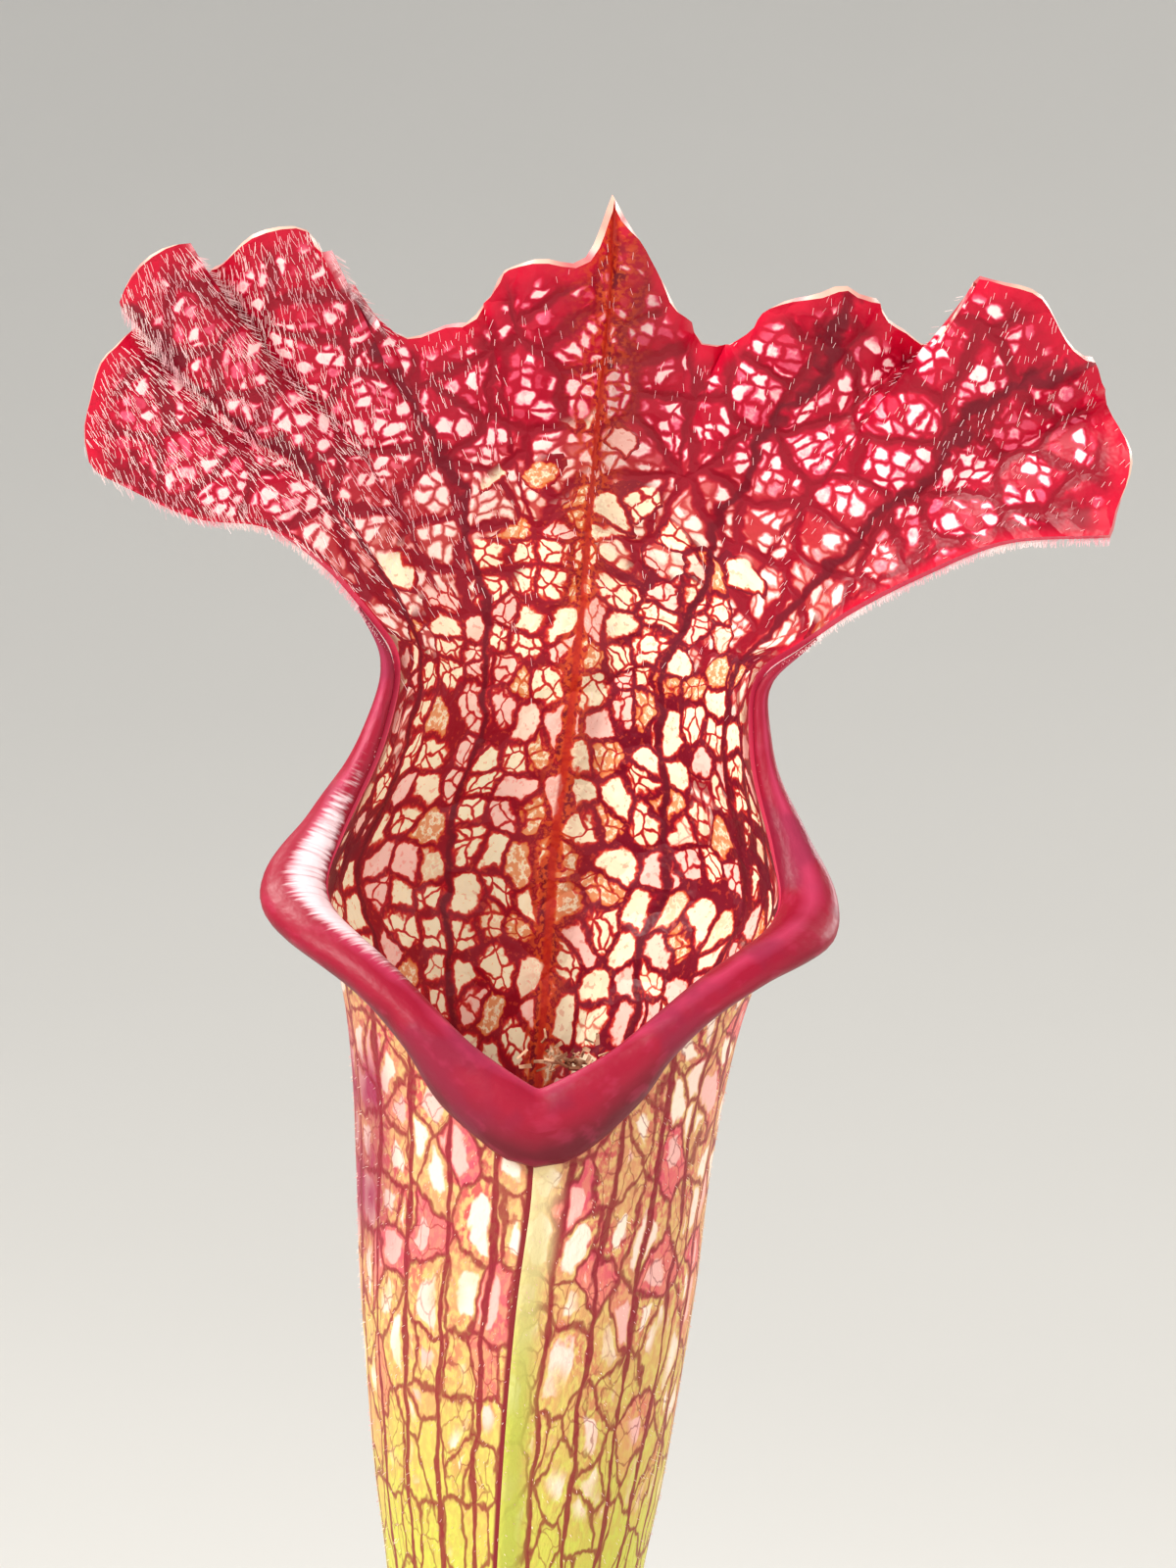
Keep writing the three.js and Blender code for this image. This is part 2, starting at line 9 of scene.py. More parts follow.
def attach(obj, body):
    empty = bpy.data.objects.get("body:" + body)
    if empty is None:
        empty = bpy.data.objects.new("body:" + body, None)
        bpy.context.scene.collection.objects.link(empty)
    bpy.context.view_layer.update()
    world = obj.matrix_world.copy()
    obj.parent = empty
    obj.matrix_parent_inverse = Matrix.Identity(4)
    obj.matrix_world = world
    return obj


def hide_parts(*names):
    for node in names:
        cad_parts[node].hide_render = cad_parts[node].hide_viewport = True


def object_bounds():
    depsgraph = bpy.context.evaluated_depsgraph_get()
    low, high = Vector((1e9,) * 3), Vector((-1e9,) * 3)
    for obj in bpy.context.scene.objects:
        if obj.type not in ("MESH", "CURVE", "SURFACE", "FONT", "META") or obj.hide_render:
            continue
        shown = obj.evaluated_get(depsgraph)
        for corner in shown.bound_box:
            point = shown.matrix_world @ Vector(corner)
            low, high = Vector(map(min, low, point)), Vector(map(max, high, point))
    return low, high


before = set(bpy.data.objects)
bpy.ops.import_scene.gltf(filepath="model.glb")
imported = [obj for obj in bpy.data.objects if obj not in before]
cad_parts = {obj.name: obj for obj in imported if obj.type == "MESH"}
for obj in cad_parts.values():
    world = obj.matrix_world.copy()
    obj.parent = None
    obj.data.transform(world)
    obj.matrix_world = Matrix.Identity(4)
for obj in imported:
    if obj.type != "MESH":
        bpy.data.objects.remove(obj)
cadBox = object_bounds()
mm = 0.001
boxRoom = np.array([0.25, 0, 0])  # what walls and smoothing add to a sheet
boxLow, boxHigh = np.array(cadBox) / mm
boxLow, boxHigh = boxLow + boxRoom, boxHigh - boxRoom  # no sheet passes the CAD model's box
rng = np.random.default_rng(7)


# Camera and light

camera = {"target": (13, 0, 352), "distance": 330, "elevation": 8, "lens": 105.4, "film": 36, "nearest": 10}


def makeCamera():
    bpy.ops.object.camera_add()
    made = bpy.context.active_object
    made.name = "photoCamera"
    tilt = math.radians(camera["elevation"])
    target = Vector(camera["target"]) * mm
    back = Vector((0, -math.cos(tilt), math.sin(tilt)))
    made.location = target + back * camera["distance"] * mm
    made.rotation_euler = (math.radians(90) - tilt, 0, 0)
    made.data.lens = camera["lens"]
    made.data.sensor_width = camera["film"]
    made.data.clip_start = camera["nearest"] * mm
    bpy.context.scene.camera = made


lamps = [  # name, place and target in metres, size in metres, watts, colour
    ("keyLamp", (-0.85, -0.7, 1.2), (0.01, 0, 0.33), 0.42, 19, (1, 0.97, 0.93)),
    ("fillLamp", (1.2, -0.9, 0.55), (0.01, 0, 0.3), 1.0, 3, (0.95, 0.97, 1)),
    ("rimLamp", (0.5, 0.55, 0.55), (0.01, 0, 0.34), 0.3, 2.5, (1, 0.98, 0.96)),
]
backSun = {"place": (-0.9, 1.2, 1.5), "strength": 1.5, "angle": 12, "colour": (1, 0.97, 0.92)}
world = {"colour": (0.96, 0.97, 1.0), "strength": 0.54}


def makeLights():
    for name, place, target, size, watts, colour in lamps:
        bpy.ops.object.light_add(type="AREA", location=place)
        made = bpy.context.active_object
        made.name = name
        made.rotation_euler = (Vector(place) - Vector(target)).to_track_quat("Z", "Y").to_euler()
        made.data.shape = "DISK"
        made.data.size = size
        made.data.energy = watts
        made.data.color = colour
    bpy.ops.object.light_add(type="SUN", location=backSun["place"])
    made = bpy.context.active_object
    made.name = "backSun"
    made.rotation_euler = Vector(backSun["place"]).to_track_quat("Z", "Y").to_euler()
    made.data.energy = backSun["strength"]
    made.data.angle = math.radians(backSun["angle"])
    made.data.color = backSun["colour"]
    sky = bpy.data.worlds.new("studioWorld")
    sky.use_nodes = True
    sky.node_tree.nodes["Background"].inputs["Color"].default_value = (*world["colour"], 1)
    sky.node_tree.nodes["Background"].inputs["Strength"].default_value = world["strength"]
    bpy.context.scene.world = sky
    bpy.context.scene.view_settings.view_transform = "Standard"


makeCamera()
makeLights()
print("camera and lights set")


# Shader maths

def paint(colour):  # an sRGB colour, 0 to 255, as the shader reads it
    def straight(v):
        v = v / 255
        return v / 12.92 if v <= 0.04045 else ((v + 0.055) / 1.055) ** 2.4

    return (*(straight(v) for v in colour), 1)


class Socket:
    def __init__(self, tree, socket=None):
        self.tree = tree
        self.socket = socket

    # any node: its type, its settings, and the values or links of its sockets
    def node(self, kind, settings=None, values=None, output=0):
        made = self.tree.nodes.new("ShaderNode" + kind)
        for key, value in (settings or {}).items():
            if key == "stops":
                stops = made.color_ramp.elements
                while len(stops) < len(value):
                    stops.new(0.5)
                for stop, (place, colour) in zip(stops, value):
                    stop.position = place
                    stop.color = paint(colour)
            else:
                setattr(made, key, value)
        for key, value in (values or {}).items():
            if isinstance(value, Socket):
                self.tree.links.new(value.socket, made.inputs[key])
            else:
                made.inputs[key].default_value = value
        return Socket(self.tree, made.outputs[output])

    def maths(self, operation, first, second=0.0):
        return self.node("Math", {"operation": operation}, {0: first, 1: second})

    def __add__(self, other):
        return self.maths("ADD", self, other)

    __radd__ = __add__

    def __sub__(self, other):
        return self.maths("SUBTRACT", self, other)

    def __rsub__(self, other):
        return self.maths("SUBTRACT", other, self)

    def __mul__(self, other):
        return self.maths("MULTIPLY", self, other)

    __rmul__ = __mul__

    def __truediv__(self, other):
        return self.maths("DIVIDE", self, other)

    def __abs__(self):
        return self.maths("ABSOLUTE", self)

    def least(self, other):
        return self.maths("MINIMUM", self, other)

    def most(self, other):
        return self.maths("MAXIMUM", self, other)

    # 0 at low and 1 at high, eased between
    def step(self, low, high, start=0.0, end=1.0):
        ends = {"Value": self, "From Min": low, "From Max": high, "To Min": start, "To Max": end}
        return self.node("MapRange", {"interpolation_type": "SMOOTHSTEP"}, ends)

    def fade(self, low, high):  # 1 at low and 0 at high
        return self.step(low, high, 1, 0)

    def tint(self, colour, other):  # colour where this is 0, other where it is 1
        first, second = (end if isinstance(end, Socket) else paint(end) for end in (colour, other))
        settings = {"data_type": "RGBA", "clamp_factor": True}
        return self.node("Mix", settings, {0: self, 6: first, 7: second}, 2)

    def ramp(self, *stops):  # each a place from 0 to 1 and its colour
        return self.node("ValToRGB", {"stops": stops}, {"Fac": self})

    def relief(self, strength, depth):  # a bump of this height, its depth in millimetres
        return self.node("Bump", None, {"Strength": strength, "Distance": depth * mm, "Height": self})

    def part(self, axis):
        return self.node("SeparateXYZ", None, {"Vector": self}, output="XYZ".index(axis))

    def moved(self, other, share):  # this vector plus a share of another
        return self.node("VectorMath", {"operation": "MULTIPLY_ADD"}, {0: other, 1: (share,) * 3, 2: self})

    def shifted(self, offset):
        return self.node("VectorMath", {"operation": "ADD"}, {0: self, 1: offset})

    def stretched(self, factors):
        return self.node("VectorMath", {"operation": "MULTIPLY"}, {0: self, 1: factors})

    def cloud(self, scale, detail=2.0, output=0, dimensions="3D"):
        values = {"Vector": self, "Scale": scale, "Detail": detail}
        return self.node("TexNoise", {"noise_dimensions": dimensions}, values, output)

    def flatCloud(self, scale, detail=2.0, output=0):  # for maps
        return self.cloud(scale, detail, output, "2D")

    # for maps: how far it is to a cell's middle or edge in cells of this size, and the cell's own chances
    def cells(self, size, feature="F1", even=1.0):
        settings = {"voronoi_dimensions": "2D", "feature": feature}
        found = self.node("TexVoronoi", settings, {"Vector": self, "Scale": 1 / size, "Randomness": even})
        return found * size, found.also("Color") if feature == "F1" else None

    def edges(self, size, even=1.0):
        return self.cells(size, "DISTANCE_TO_EDGE", even)[0]

    def also(self, output):  # another output of the same node
        return Socket(self.tree, self.socket.node.outputs[output])


def newFinish(name):
    finish = bpy.data.materials.new(name)
    finish.use_nodes = True
    finish.cycles.emission_sampling = "NONE"  # a faint glow, not a lamp
    shader = finish.node_tree.nodes["Principled BSDF"]
    return finish, Socket(finish.node_tree), shader


def ownPlace(base):
    return base.node("TexCoord", output="Object")


def setShader(shader, **values):
    for key, value in values.items():
        socket = shader.inputs[key.replace("_", " ")]
        if isinstance(value, Socket):
            value.tree.links.new(value.socket, socket)
        else:
            socket.default_value = value


# a living surface: its colour also glows faintly, a painted glow that stands in for light shining through the
# thin tissue
def setGlowingSurface(shader, colour, look, normal=None):
    setShader(shader, Base_Color=colour, Emission_Color=colour, Roughness=look["roughness"],
              Emission_Strength=look["glow"], Specular_IOR_Level=look["gloss"])
    if normal:
        setShader(shader, Normal=normal)


# a grain of two colours, with patches of a third, relief or a glow where they are given
def grainFinish(name, colours, scale, detail=3, ends=(0.35, 0.7), rough=0.8, stretch=None, patches=None,
                relief=None, glow=0):
    finish, base, shader = newFinish(name)
    place = ownPlace(base)
    grain = (place.stretched(stretch) if stretch else place).cloud(scale, detail)
    colour = grain.step(*ends).tint(*colours)
    if patches:
        size, fineness, patchEnds, share, other = patches
        colour = (place.cloud(size, fineness).step(*patchEnds) * share).tint(colour, other)
    setShader(shader, Base_Color=colour, Roughness=rough)
    if relief:
        setShader(shader, Normal=grain.relief(*relief))
    if glow:
        setShader(shader, Emission_Color=colour, Emission_Strength=glow)
    return finish


# Curves, as the CAD source reads them

def profile(knots):
    xs, ys = np.array(knots, float).T
    rises = np.diff(ys) / np.diff(xs)
    slopes = np.concatenate([rises[:1], (rises[:-1] + rises[1:]) / 2, rises[-1:]])

    def read(position):
        x = np.clip(position, xs[0], xs[-1])
        i = np.clip(np.searchsorted(xs, x) - 1, 0, len(xs) - 2)
        span = xs[i + 1] - xs[i]
        t = (x - xs[i]) / span
        ease = t * t * (3 - 2 * t)
        pull = span * t * (1 - t) * ((1 - t) * slopes[i] - t * slopes[i + 1])
        return ys[i] + (ys[i + 1] - ys[i]) * ease + pull

    return read


def byLength(pointAt, divisions=200):  # a curve read by its share of length
    ts = np.linspace(0, 1, divisions + 1)
    points = pointAt(ts)
    lengths = np.concatenate([[0], np.cumsum(np.linalg.norm(np.diff(points, axis=0), axis=1))])

    def read(share):
        return pointAt(np.interp(np.clip(share, 0, 1) * lengths[-1], lengths, ts))

    return read, lengths[-1]


def curveThrough(points):
    known = np.array(points, float)
    padded = np.vstack([2 * known[0] - known[1], known, 2 * known[-1] - known[-2]])
    count = len(known)

    def pointAt(t):
        place = np.asarray(t, float) * (count - 1)
        i = np.clip(np.floor(place).astype(int), 0, count - 2)
        w = (place - i)[..., None]
        p0, p1, p2, p3 = (padded[i + k] for k in range(4))
        gaps = [np.sqrt(np.linalg.norm(b - a, axis=-1))[..., None] for a, b in ((p0, p1), (p1, p2), (p2, p3))]
        t1 = ((p1 - p0) / gaps[0] - (p2 - p0) / (gaps[0] + gaps[1]) + (p2 - p1) / gaps[1]) * gaps[1]
        t2 = ((p2 - p1) / gaps[1] - (p3 - p1) / (gaps[1] + gaps[2]) + (p3 - p2) / gaps[2]) * gaps[1]
        c2 = -3 * p1 + 3 * p2 - 2 * t1 - t2
        c3 = 2 * p1 - 2 * p2 + t1 + t2
        return p1 + w * (t1 + w * (c2 + w * c3))

    return byLength(pointAt)[0]


def unit(vectors):
    return vectors / np.maximum(np.linalg.norm(vectors, axis=-1, keepdims=True), 1e-12)


# Mesh building

def pick(*pieces):  # selects these alone and makes the first active
    bpy.ops.object.select_all(action="DESELECT")
    for piece in pieces:
        piece.select_set(True)
    if pieces:
        bpy.context.view_layer.objects.active = pieces[0]


# a grid primitive whose vertices go to points[row, column]; each entry of maps is a UV map
def makeSheet(name, points, maps=None, boxed=True):
    rows, columns = points.shape[:2]
    pick()
    bpy.ops.mesh.primitive_grid_add(x_subdivisions=columns - 1, y_subdivisions=rows - 1, size=1)
    piece = bpy.context.active_object
    piece.name = piece.data.name = name
    mesh = piece.data
    if boxed:
        points = np.clip(points, boxLow, boxHigh)
    mesh.vertices.foreach_set("co", (points * mm).astype(np.float32).ravel())
    mesh.uv_layers.remove(mesh.uv_layers[0])
    corners = np.zeros(len(mesh.loops), np.int64)
    mesh.loops.foreach_get("vertex_index", corners)
    for mapName, values in (maps or {}).items():
        layer = mesh.uv_layers.new(name=mapName)
        layer.uv.foreach_set("vector", values.reshape(-1, 2)[corners].astype(np.float32).ravel())
    mesh.update()
    return piece


def edit(piece, *steps):
    pick(piece)
    bpy.ops.object.mode_set(mode="EDIT")
    bpy.ops.mesh.select_all(action="SELECT")
    for step in steps:
        step()
    bpy.ops.object.mode_set(mode="OBJECT")


def mergeSeam():
    bpy.ops.mesh.remove_doubles(threshold=1e-6)


def faceOut():
    bpy.ops.mesh.normals_make_consistent(inside=False)


def applyModifier(piece, kind, **settings):
    pick(piece)
    modifier = piece.modifiers.new(kind.lower(), kind)
    for key, value in settings.items():
        setattr(modifier, key, value)
    bpy.ops.object.modifier_apply(modifier=modifier.name)


def smooth(piece, degrees=60):
    pick(piece)
    bpy.ops.object.shade_smooth_by_angle(angle=math.radians(degrees))


def joined(pieces):
    pick(*pieces)
    bpy.ops.object.join()
    return bpy.context.active_object


def turns(count):
    return np.linspace(0, 2 * math.pi, count, endpoint=False)


def spun(radii, heights, count):  # level rings round the Z axis
    turn = turns(count)
    level = np.repeat(np.reshape(heights, (-1, 1)), count, axis=1)
    return np.stack([np.outer(radii, np.cos(turn)), np.outer(radii, np.sin(turn)), level], axis=-1)


# rings[row, column] become a closed skin: the seam is merged and both ends are drawn to a point
def makeTube(name, rings, maps=None, ends=True, boxed=True):
    if ends:
        middles = rings[[0, -1]].mean(axis=1, keepdims=True)
        first, last = np.repeat(middles, rings.shape[1], axis=1)
        rings = np.concatenate([first[None], rings, last[None]])
        maps = {key: np.concatenate([v[:1], v, v[-1:]]) for key, v in (maps or {}).items()}
    piece = makeSheet(name, np.concatenate([rings, rings[:, :1]], axis=1), maps, boxed)
    edit(piece, mergeSeam, faceOut)
    return piece


# copies of a small modelled shape in one mesh: its points turned by frames and moved to places
def makeCopies(name, template, places, frames):
    verts = np.array([v.co for v in template.data.vertices])
    faces = [list(p.vertices) for p in template.data.polygons]
    placed = (np.einsum("nij,vj->nvi", frames, verts) + places[:, None, :]) * mm
    everyFace = [[v + len(verts) * n for v in face] for n in range(len(places)) for face in faces]
    mesh = bpy.data.meshes.new(name)
    mesh.from_pydata(placed.reshape(-1, 3).tolist(), [], everyFace)
    piece = bpy.data.objects.new(name, mesh)
    bpy.context.scene.collection.objects.link(piece)
    bpy.data.objects.remove(template)
    return piece


def finishPiece(piece, finish=None, node=None):
    if finish:
        piece.data.materials.clear()
        piece.data.materials.append(finish)
    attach(piece, "root")
    if node:
        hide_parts(node)


# The pitchers' form at full size, with heights from the lip's lowest point

halfWidth = profile([
    [-260, 3.5], [-225, 3.3], [-170, 3.8], [-130, 4.5], [-95, 5.4], [-65, 6.6], [-45, 8], [-31, 9.5],
    [-23.5, 10.7], [-16, 11.6], [-8.5, 12.4], [0, 13], [8.5, 14], [13, 15], [17, 16.6], [20, 17],
    [23, 16.2], [29, 14.2], [35.5, 13.3],
])
halfDepth = profile([
    [-260, 3.2], [-225, 3], [-170, 3.6], [-130, 4.4], [-95, 5.4], [-65, 6.7], [-45, 8.1], [-31, 9.6],
    [-16, 11.4], [0, 12.9], [8, 13.4], [14, 13.6], [20, 13.4], [28, 11.4], [35.5, 8.2],
])
centreX = profile([[0, 0], [19, 0.5], [35.5, 1.5]])
centreY = profile([[0, 0], [8, 0.2], [14, 0.6], [20, 1.2], [28, 2.8], [35.5, 4.4]])
keel = profile([[-260, 0.5], [-200, 1.5], [-120, 2], [-60, 1.6], [-20, 1], [0, 0.6], [6, 0]])
twist = profile([[-260, 18], [-120, 12], [-29, 6.5], [-8, 3], [0, 0]])
lipLow = 7.3
columnTop = 35.5
wrap = profile([
    [lipLow, 180], [9, 168], [10.2, 160], [11.8, 152], [13.5, 144], [15, 137], [16.5, 128], [17.8, 116],
    [19, 102], [21, 93], [24, 88], [29, 82], [columnTop, 77],
])
lipOut = profile([[lipLow, 3.2], [14, 3.4], [17, 4.2], [19, 5.2], [24, 3.4], [29, 2.3], [columnTop, 1.6]])
lipDown = profile([
    [lipLow, 5.6], [10, 4.6], [12.5, 3.7], [15.5, 3], [19, 3.2], [24, 2.8], [30, 2], [columnTop, 1.4],
])
lipLap = {"inwards": 0.9, "upwards": 0.9}
# taken off the lip's inner side
lipSlim = profile([[lipLow, 0], [16, 0.05], [20, 0.35], [25, 0.6], [columnTop, 0.62]])
lidTip = [2.4, -2.5, 70.3]
lidSpine = curveThrough([
    [1.5, 12.6, columnTop], [1.7, 11.4, 42], [1.9, 9.2, 49], [2.2, 5.8, 56], [2.5, 1.6, 63], lidTip,
])
lidEdges = {
    "left": {
        "lower": [[-13.4, 5, 38.1], [-16.9, 3, 42.2], [-21.4, 1, 45.3], [-26.5, -0.5, 46], [-32.4, -2, 48.8]],
        "frill": [
            [-32.4, -2, 48.8], [-34.1, -2.4, 51.2], [-33.8, -3, 54], [-33, -2.6, 57.3], [-30.5, 1, 59.6],
            [-31.6, -2.6, 61.8], [-29.8, -4.4, 64.3], [-27.6, -3, 65.3], [-26.8, 1.4, 62.7],
            [-22.4, -2.5, 66.4], [-18.9, -2, 66.6], [-17.2, 1, 64], [-15.2, 3, 61.2], [-12.2, 4.5, 59.3],
            [-9.6, 4, 59.8], [-6.6, 2, 61.5], [-4.9, -1, 64.4], [-2.6, -2.5, 65.8], [0.5, -1.5, 65.6],
            lidTip,
        ],
    },
    "right": {
        "lower": [[17.3, 5, 37.6], [21.4, 3, 41], [26.3, 1, 44.1], [31.6, -1, 46.8], [38.8, -3, 47.8]],
        "frill": [
            [38.8, -3, 47.8], [40.1, -2, 53.7], [38.1, 0, 57.5], [37.2, -2, 59.9], [34.5, -4, 62],
            [32.3, -5, 65], [28.4, -4.6, 65.8], [27.6, -1, 62.2], [25.5, 2.4, 60.2], [23.2, 1.5, 61.9],
            [20.3, -1.5, 64.3], [17.4, -2, 64.3], [14.6, -1, 63.1], [13.3, 1, 61.3], [10.9, 4, 59.5],
            [8.6, 3.5, 60.7], [6.4, 1, 64.2], [4.5, -1, 67], lidTip,
        ],
    },
}
netRadius = 13.4  # turns an angle round the tube into millimetres of the vein map
bow = 0.12  # how far a leaf's foot leans towards its head
cornerEase = (5, 24)  # the reach in rows and the times, where the column passes into the lid


def leafAxis(leaf):
    facing, right, back = (math.radians(leaf[key]) for key in ("facing", "leanRight", "leanBack"))
    turn = np.array(Euler((-back, right, facing)).to_matrix())
    headUp, headBack = turn[:, 2], turn[:, 1]
    root, head = np.array(leaf["root"], float), np.array(leaf["head"], float)
    reach = np.linalg.norm(head - root) / 3
    out = (head - root) * [1, 1, 0] * bow
    p0, p1, p2, p3 = root, root + out + [0, 0, reach], head - headUp * reach, head

    def pointAt(t):
        t = np.asarray(t, float)[..., None]
        return (1 - t) ** 3 * p0 + 3 * t * (1 - t) ** 2 * p1 + 3 * t * t * (1 - t) * p2 + t ** 3 * p3

    middleAt, length = byLength(pointAt)

    def frameAt(height):
        height = np.asarray(height, float)
        share = np.clip(1 + height / length, 0, 1)
        up = unit(middleAt(np.minimum(share + 1e-3, 1)) - middleAt(np.maximum(share - 1e-3, 0)))
        behind = unit(headBack - up * (up @ headBack)[..., None])
        middle = middleAt(share) + up * np.minimum(height + length, 0)[..., None]
        return middle, up, behind, np.cross(behind, up)

    return length, frameAt


def wallPoints(leaf, axis, heights, sides):
    h = (heights / leaf["scale"])[:, None]
    turned = sides[None, :] * wrap(np.maximum(h, lipLow))
    angle = np.radians(turned + twist(np.minimum(h, 0)))
    fromSeam = np.radians(180 - np.abs(turned)) * halfWidth(h)
    ridge = keel(h) * np.exp(-((fromSeam / 0.9) ** 2))
    middle, up, back, right = axis[1](np.minimum(heights, 0))
    across = leaf["scale"] * (centreX(h) + (halfWidth(h) + ridge) * np.sin(angle))
    behind = leaf["scale"] * (centreY(h) + (halfDepth(h) + ridge) * np.cos(angle))
    points = middle[:, None] + right[:, None] * across[..., None] + back[:, None] * behind[..., None]
    points += up[:, None] * np.maximum(heights, 0)[:, None, None]
    return points, np.radians(turned) * netRadius


# a row of points blurred over some steps, with its ends kept
def softened(row, reach):
    steps = np.arange(len(row))
    spread = reach * np.minimum(1, np.minimum(steps, steps[::-1]) / (2.5 * reach)) + 1e-3
    weights = np.exp(-(((steps[:, None] - steps[None, :]) / spread[:, None]) ** 2) / 2)
    return (weights / weights.sum(axis=1, keepdims=True)) @ row


# points blurred along their columns near one row, to round a corner there
def eased(points, middle, reach, times):
    near = 0.5 * np.exp(-(((np.arange(len(points)) - middle) / reach) ** 2))[1:-1]
    near = near.reshape(-1, *[1] * (points.ndim - 1))
    for _ in range(int(times)):
        points[1:-1] += near * ((points[:-2] + points[2:]) / 2 - points[1:-1])
    return points


def lidPoints(leaf, axis, sides, shares):
    def columnPoint(s):
        angle = np.radians(np.asarray(s, float) * wrap(columnTop))
        return np.stack([centreX(columnTop) + halfWidth(columnTop) * np.sin(angle),
                         centreY(columnTop) + halfDepth(columnTop) * np.cos(angle),
                         np.full_like(angle, columnTop)], axis=-1)

    halves = []
    for name, sign in (("left", -1), ("right", 1)):
        own = sides[sides < 0] if sign < 0 else sides[sides >= 0]
        inwards = 1 - np.abs(own)
        end = columnPoint(sign)
        lower = curveThrough([end.tolist(), *lidEdges[name]["lower"]])(shares)
        frill = curveThrough(lidEdges[name]["frill"])
        spine = lidSpine(shares)
        bend = (shares ** 2)[:, None, None]
        pull = inwards[None, :, None]
        local = lower[:, None] * (1 - pull) + spine[:, None] * pull
        local = local + (columnPoint(own) - (end + (columnPoint(0) - end) * inwards[:, None])) * (1 - bend)
        start, stop = frill(np.array([0.0]))[0], frill(np.array([1.0]))[0]
        ruffle = frill(inwards) - (start + (stop - start) * inwards[:, None])
        broad = softened(ruffle, folds["broad"] * len(own))
        local = local + broad * bend + (ruffle - broad) * (shares ** folds["near"])[:, None, None]
        halves.append(local)
    local = np.concatenate(halves, axis=1)
    flat = local + lidFolds(sides, shares)
    local = flat * leaf["scale"]
    middle, up, back, right = (v for v in axis[1](np.array(0.0)))
    return middle + local[..., :1] * right + local[..., 1:2] * back + local[..., 2:] * up, flat


folds = {"pleat": 0.36, "pleats": 17, "broad": 0.16, "near": 3.6, "curl": 0.5, "curlUp": 0.24, "curls": 88}


# shallow pleats along the lid's rays, and small curls along its frill
def lidFolds(sides, shares):
    side, share = np.meshgrid(sides, shares)
    wave = np.sin(folds["pleats"] * side + 2.1 * np.sin(5 * side + 1)) + 0.6 * np.sin(31 * side + 3 * share)
    depth = folds["pleat"] * wave * np.sin(math.pi * np.clip(share, 0, 1)) ** 0.7
    offset = np.zeros((*side.shape, 3))
    near = share ** 5 * np.clip(np.abs(side) * 8, 0, 1)
    phase = folds["curls"] * side + 2 * np.sin(31 * side)
    offset[..., 1] = depth + folds["curl"] * near * np.sin(phase)
    offset[..., 2] = folds["curlUp"] * near * np.sin(phase + 1.1)
    return offset


leafWall = 0.55
tallPitcher = {
    "name": "pitcher_tall", "root": [1, 6, 98], "head": [9, 2, 324], "scale": 1, "facing": 0,
    "leanRight": 2.7, "leanBack": -1, "columns": 156, "rows": (100, 44, 74), "lipSteps": 200, "lipSides": 28,
}
coarse = {"columns": 92, "rows": (56, 24, 40), "lipSteps": 100, "lipSides": 16}
shortPitchers = [
    {"name": "pitcher_left", "root": [-9, 1, 98], "head": [-47, -12, 214], "scale": 0.66, "facing": 34,
     "leanRight": -16, "leanBack": 4, **coarse},
    {"name": "pitcher_right", "root": [11, 1, 97], "head": [48, 16, 204], "scale": 0.72, "facing": -28,
     "leanRight": 14, "leanBack": 8, **coarse},
    {"name": "pitcher_front", "root": [3, -8, 98], "head": [10, -40, 166], "scale": 0.54, "facing": 12,
     "leanRight": 6, "leanBack": -15, **coarse, "rows": (44, 24, 40)},
]


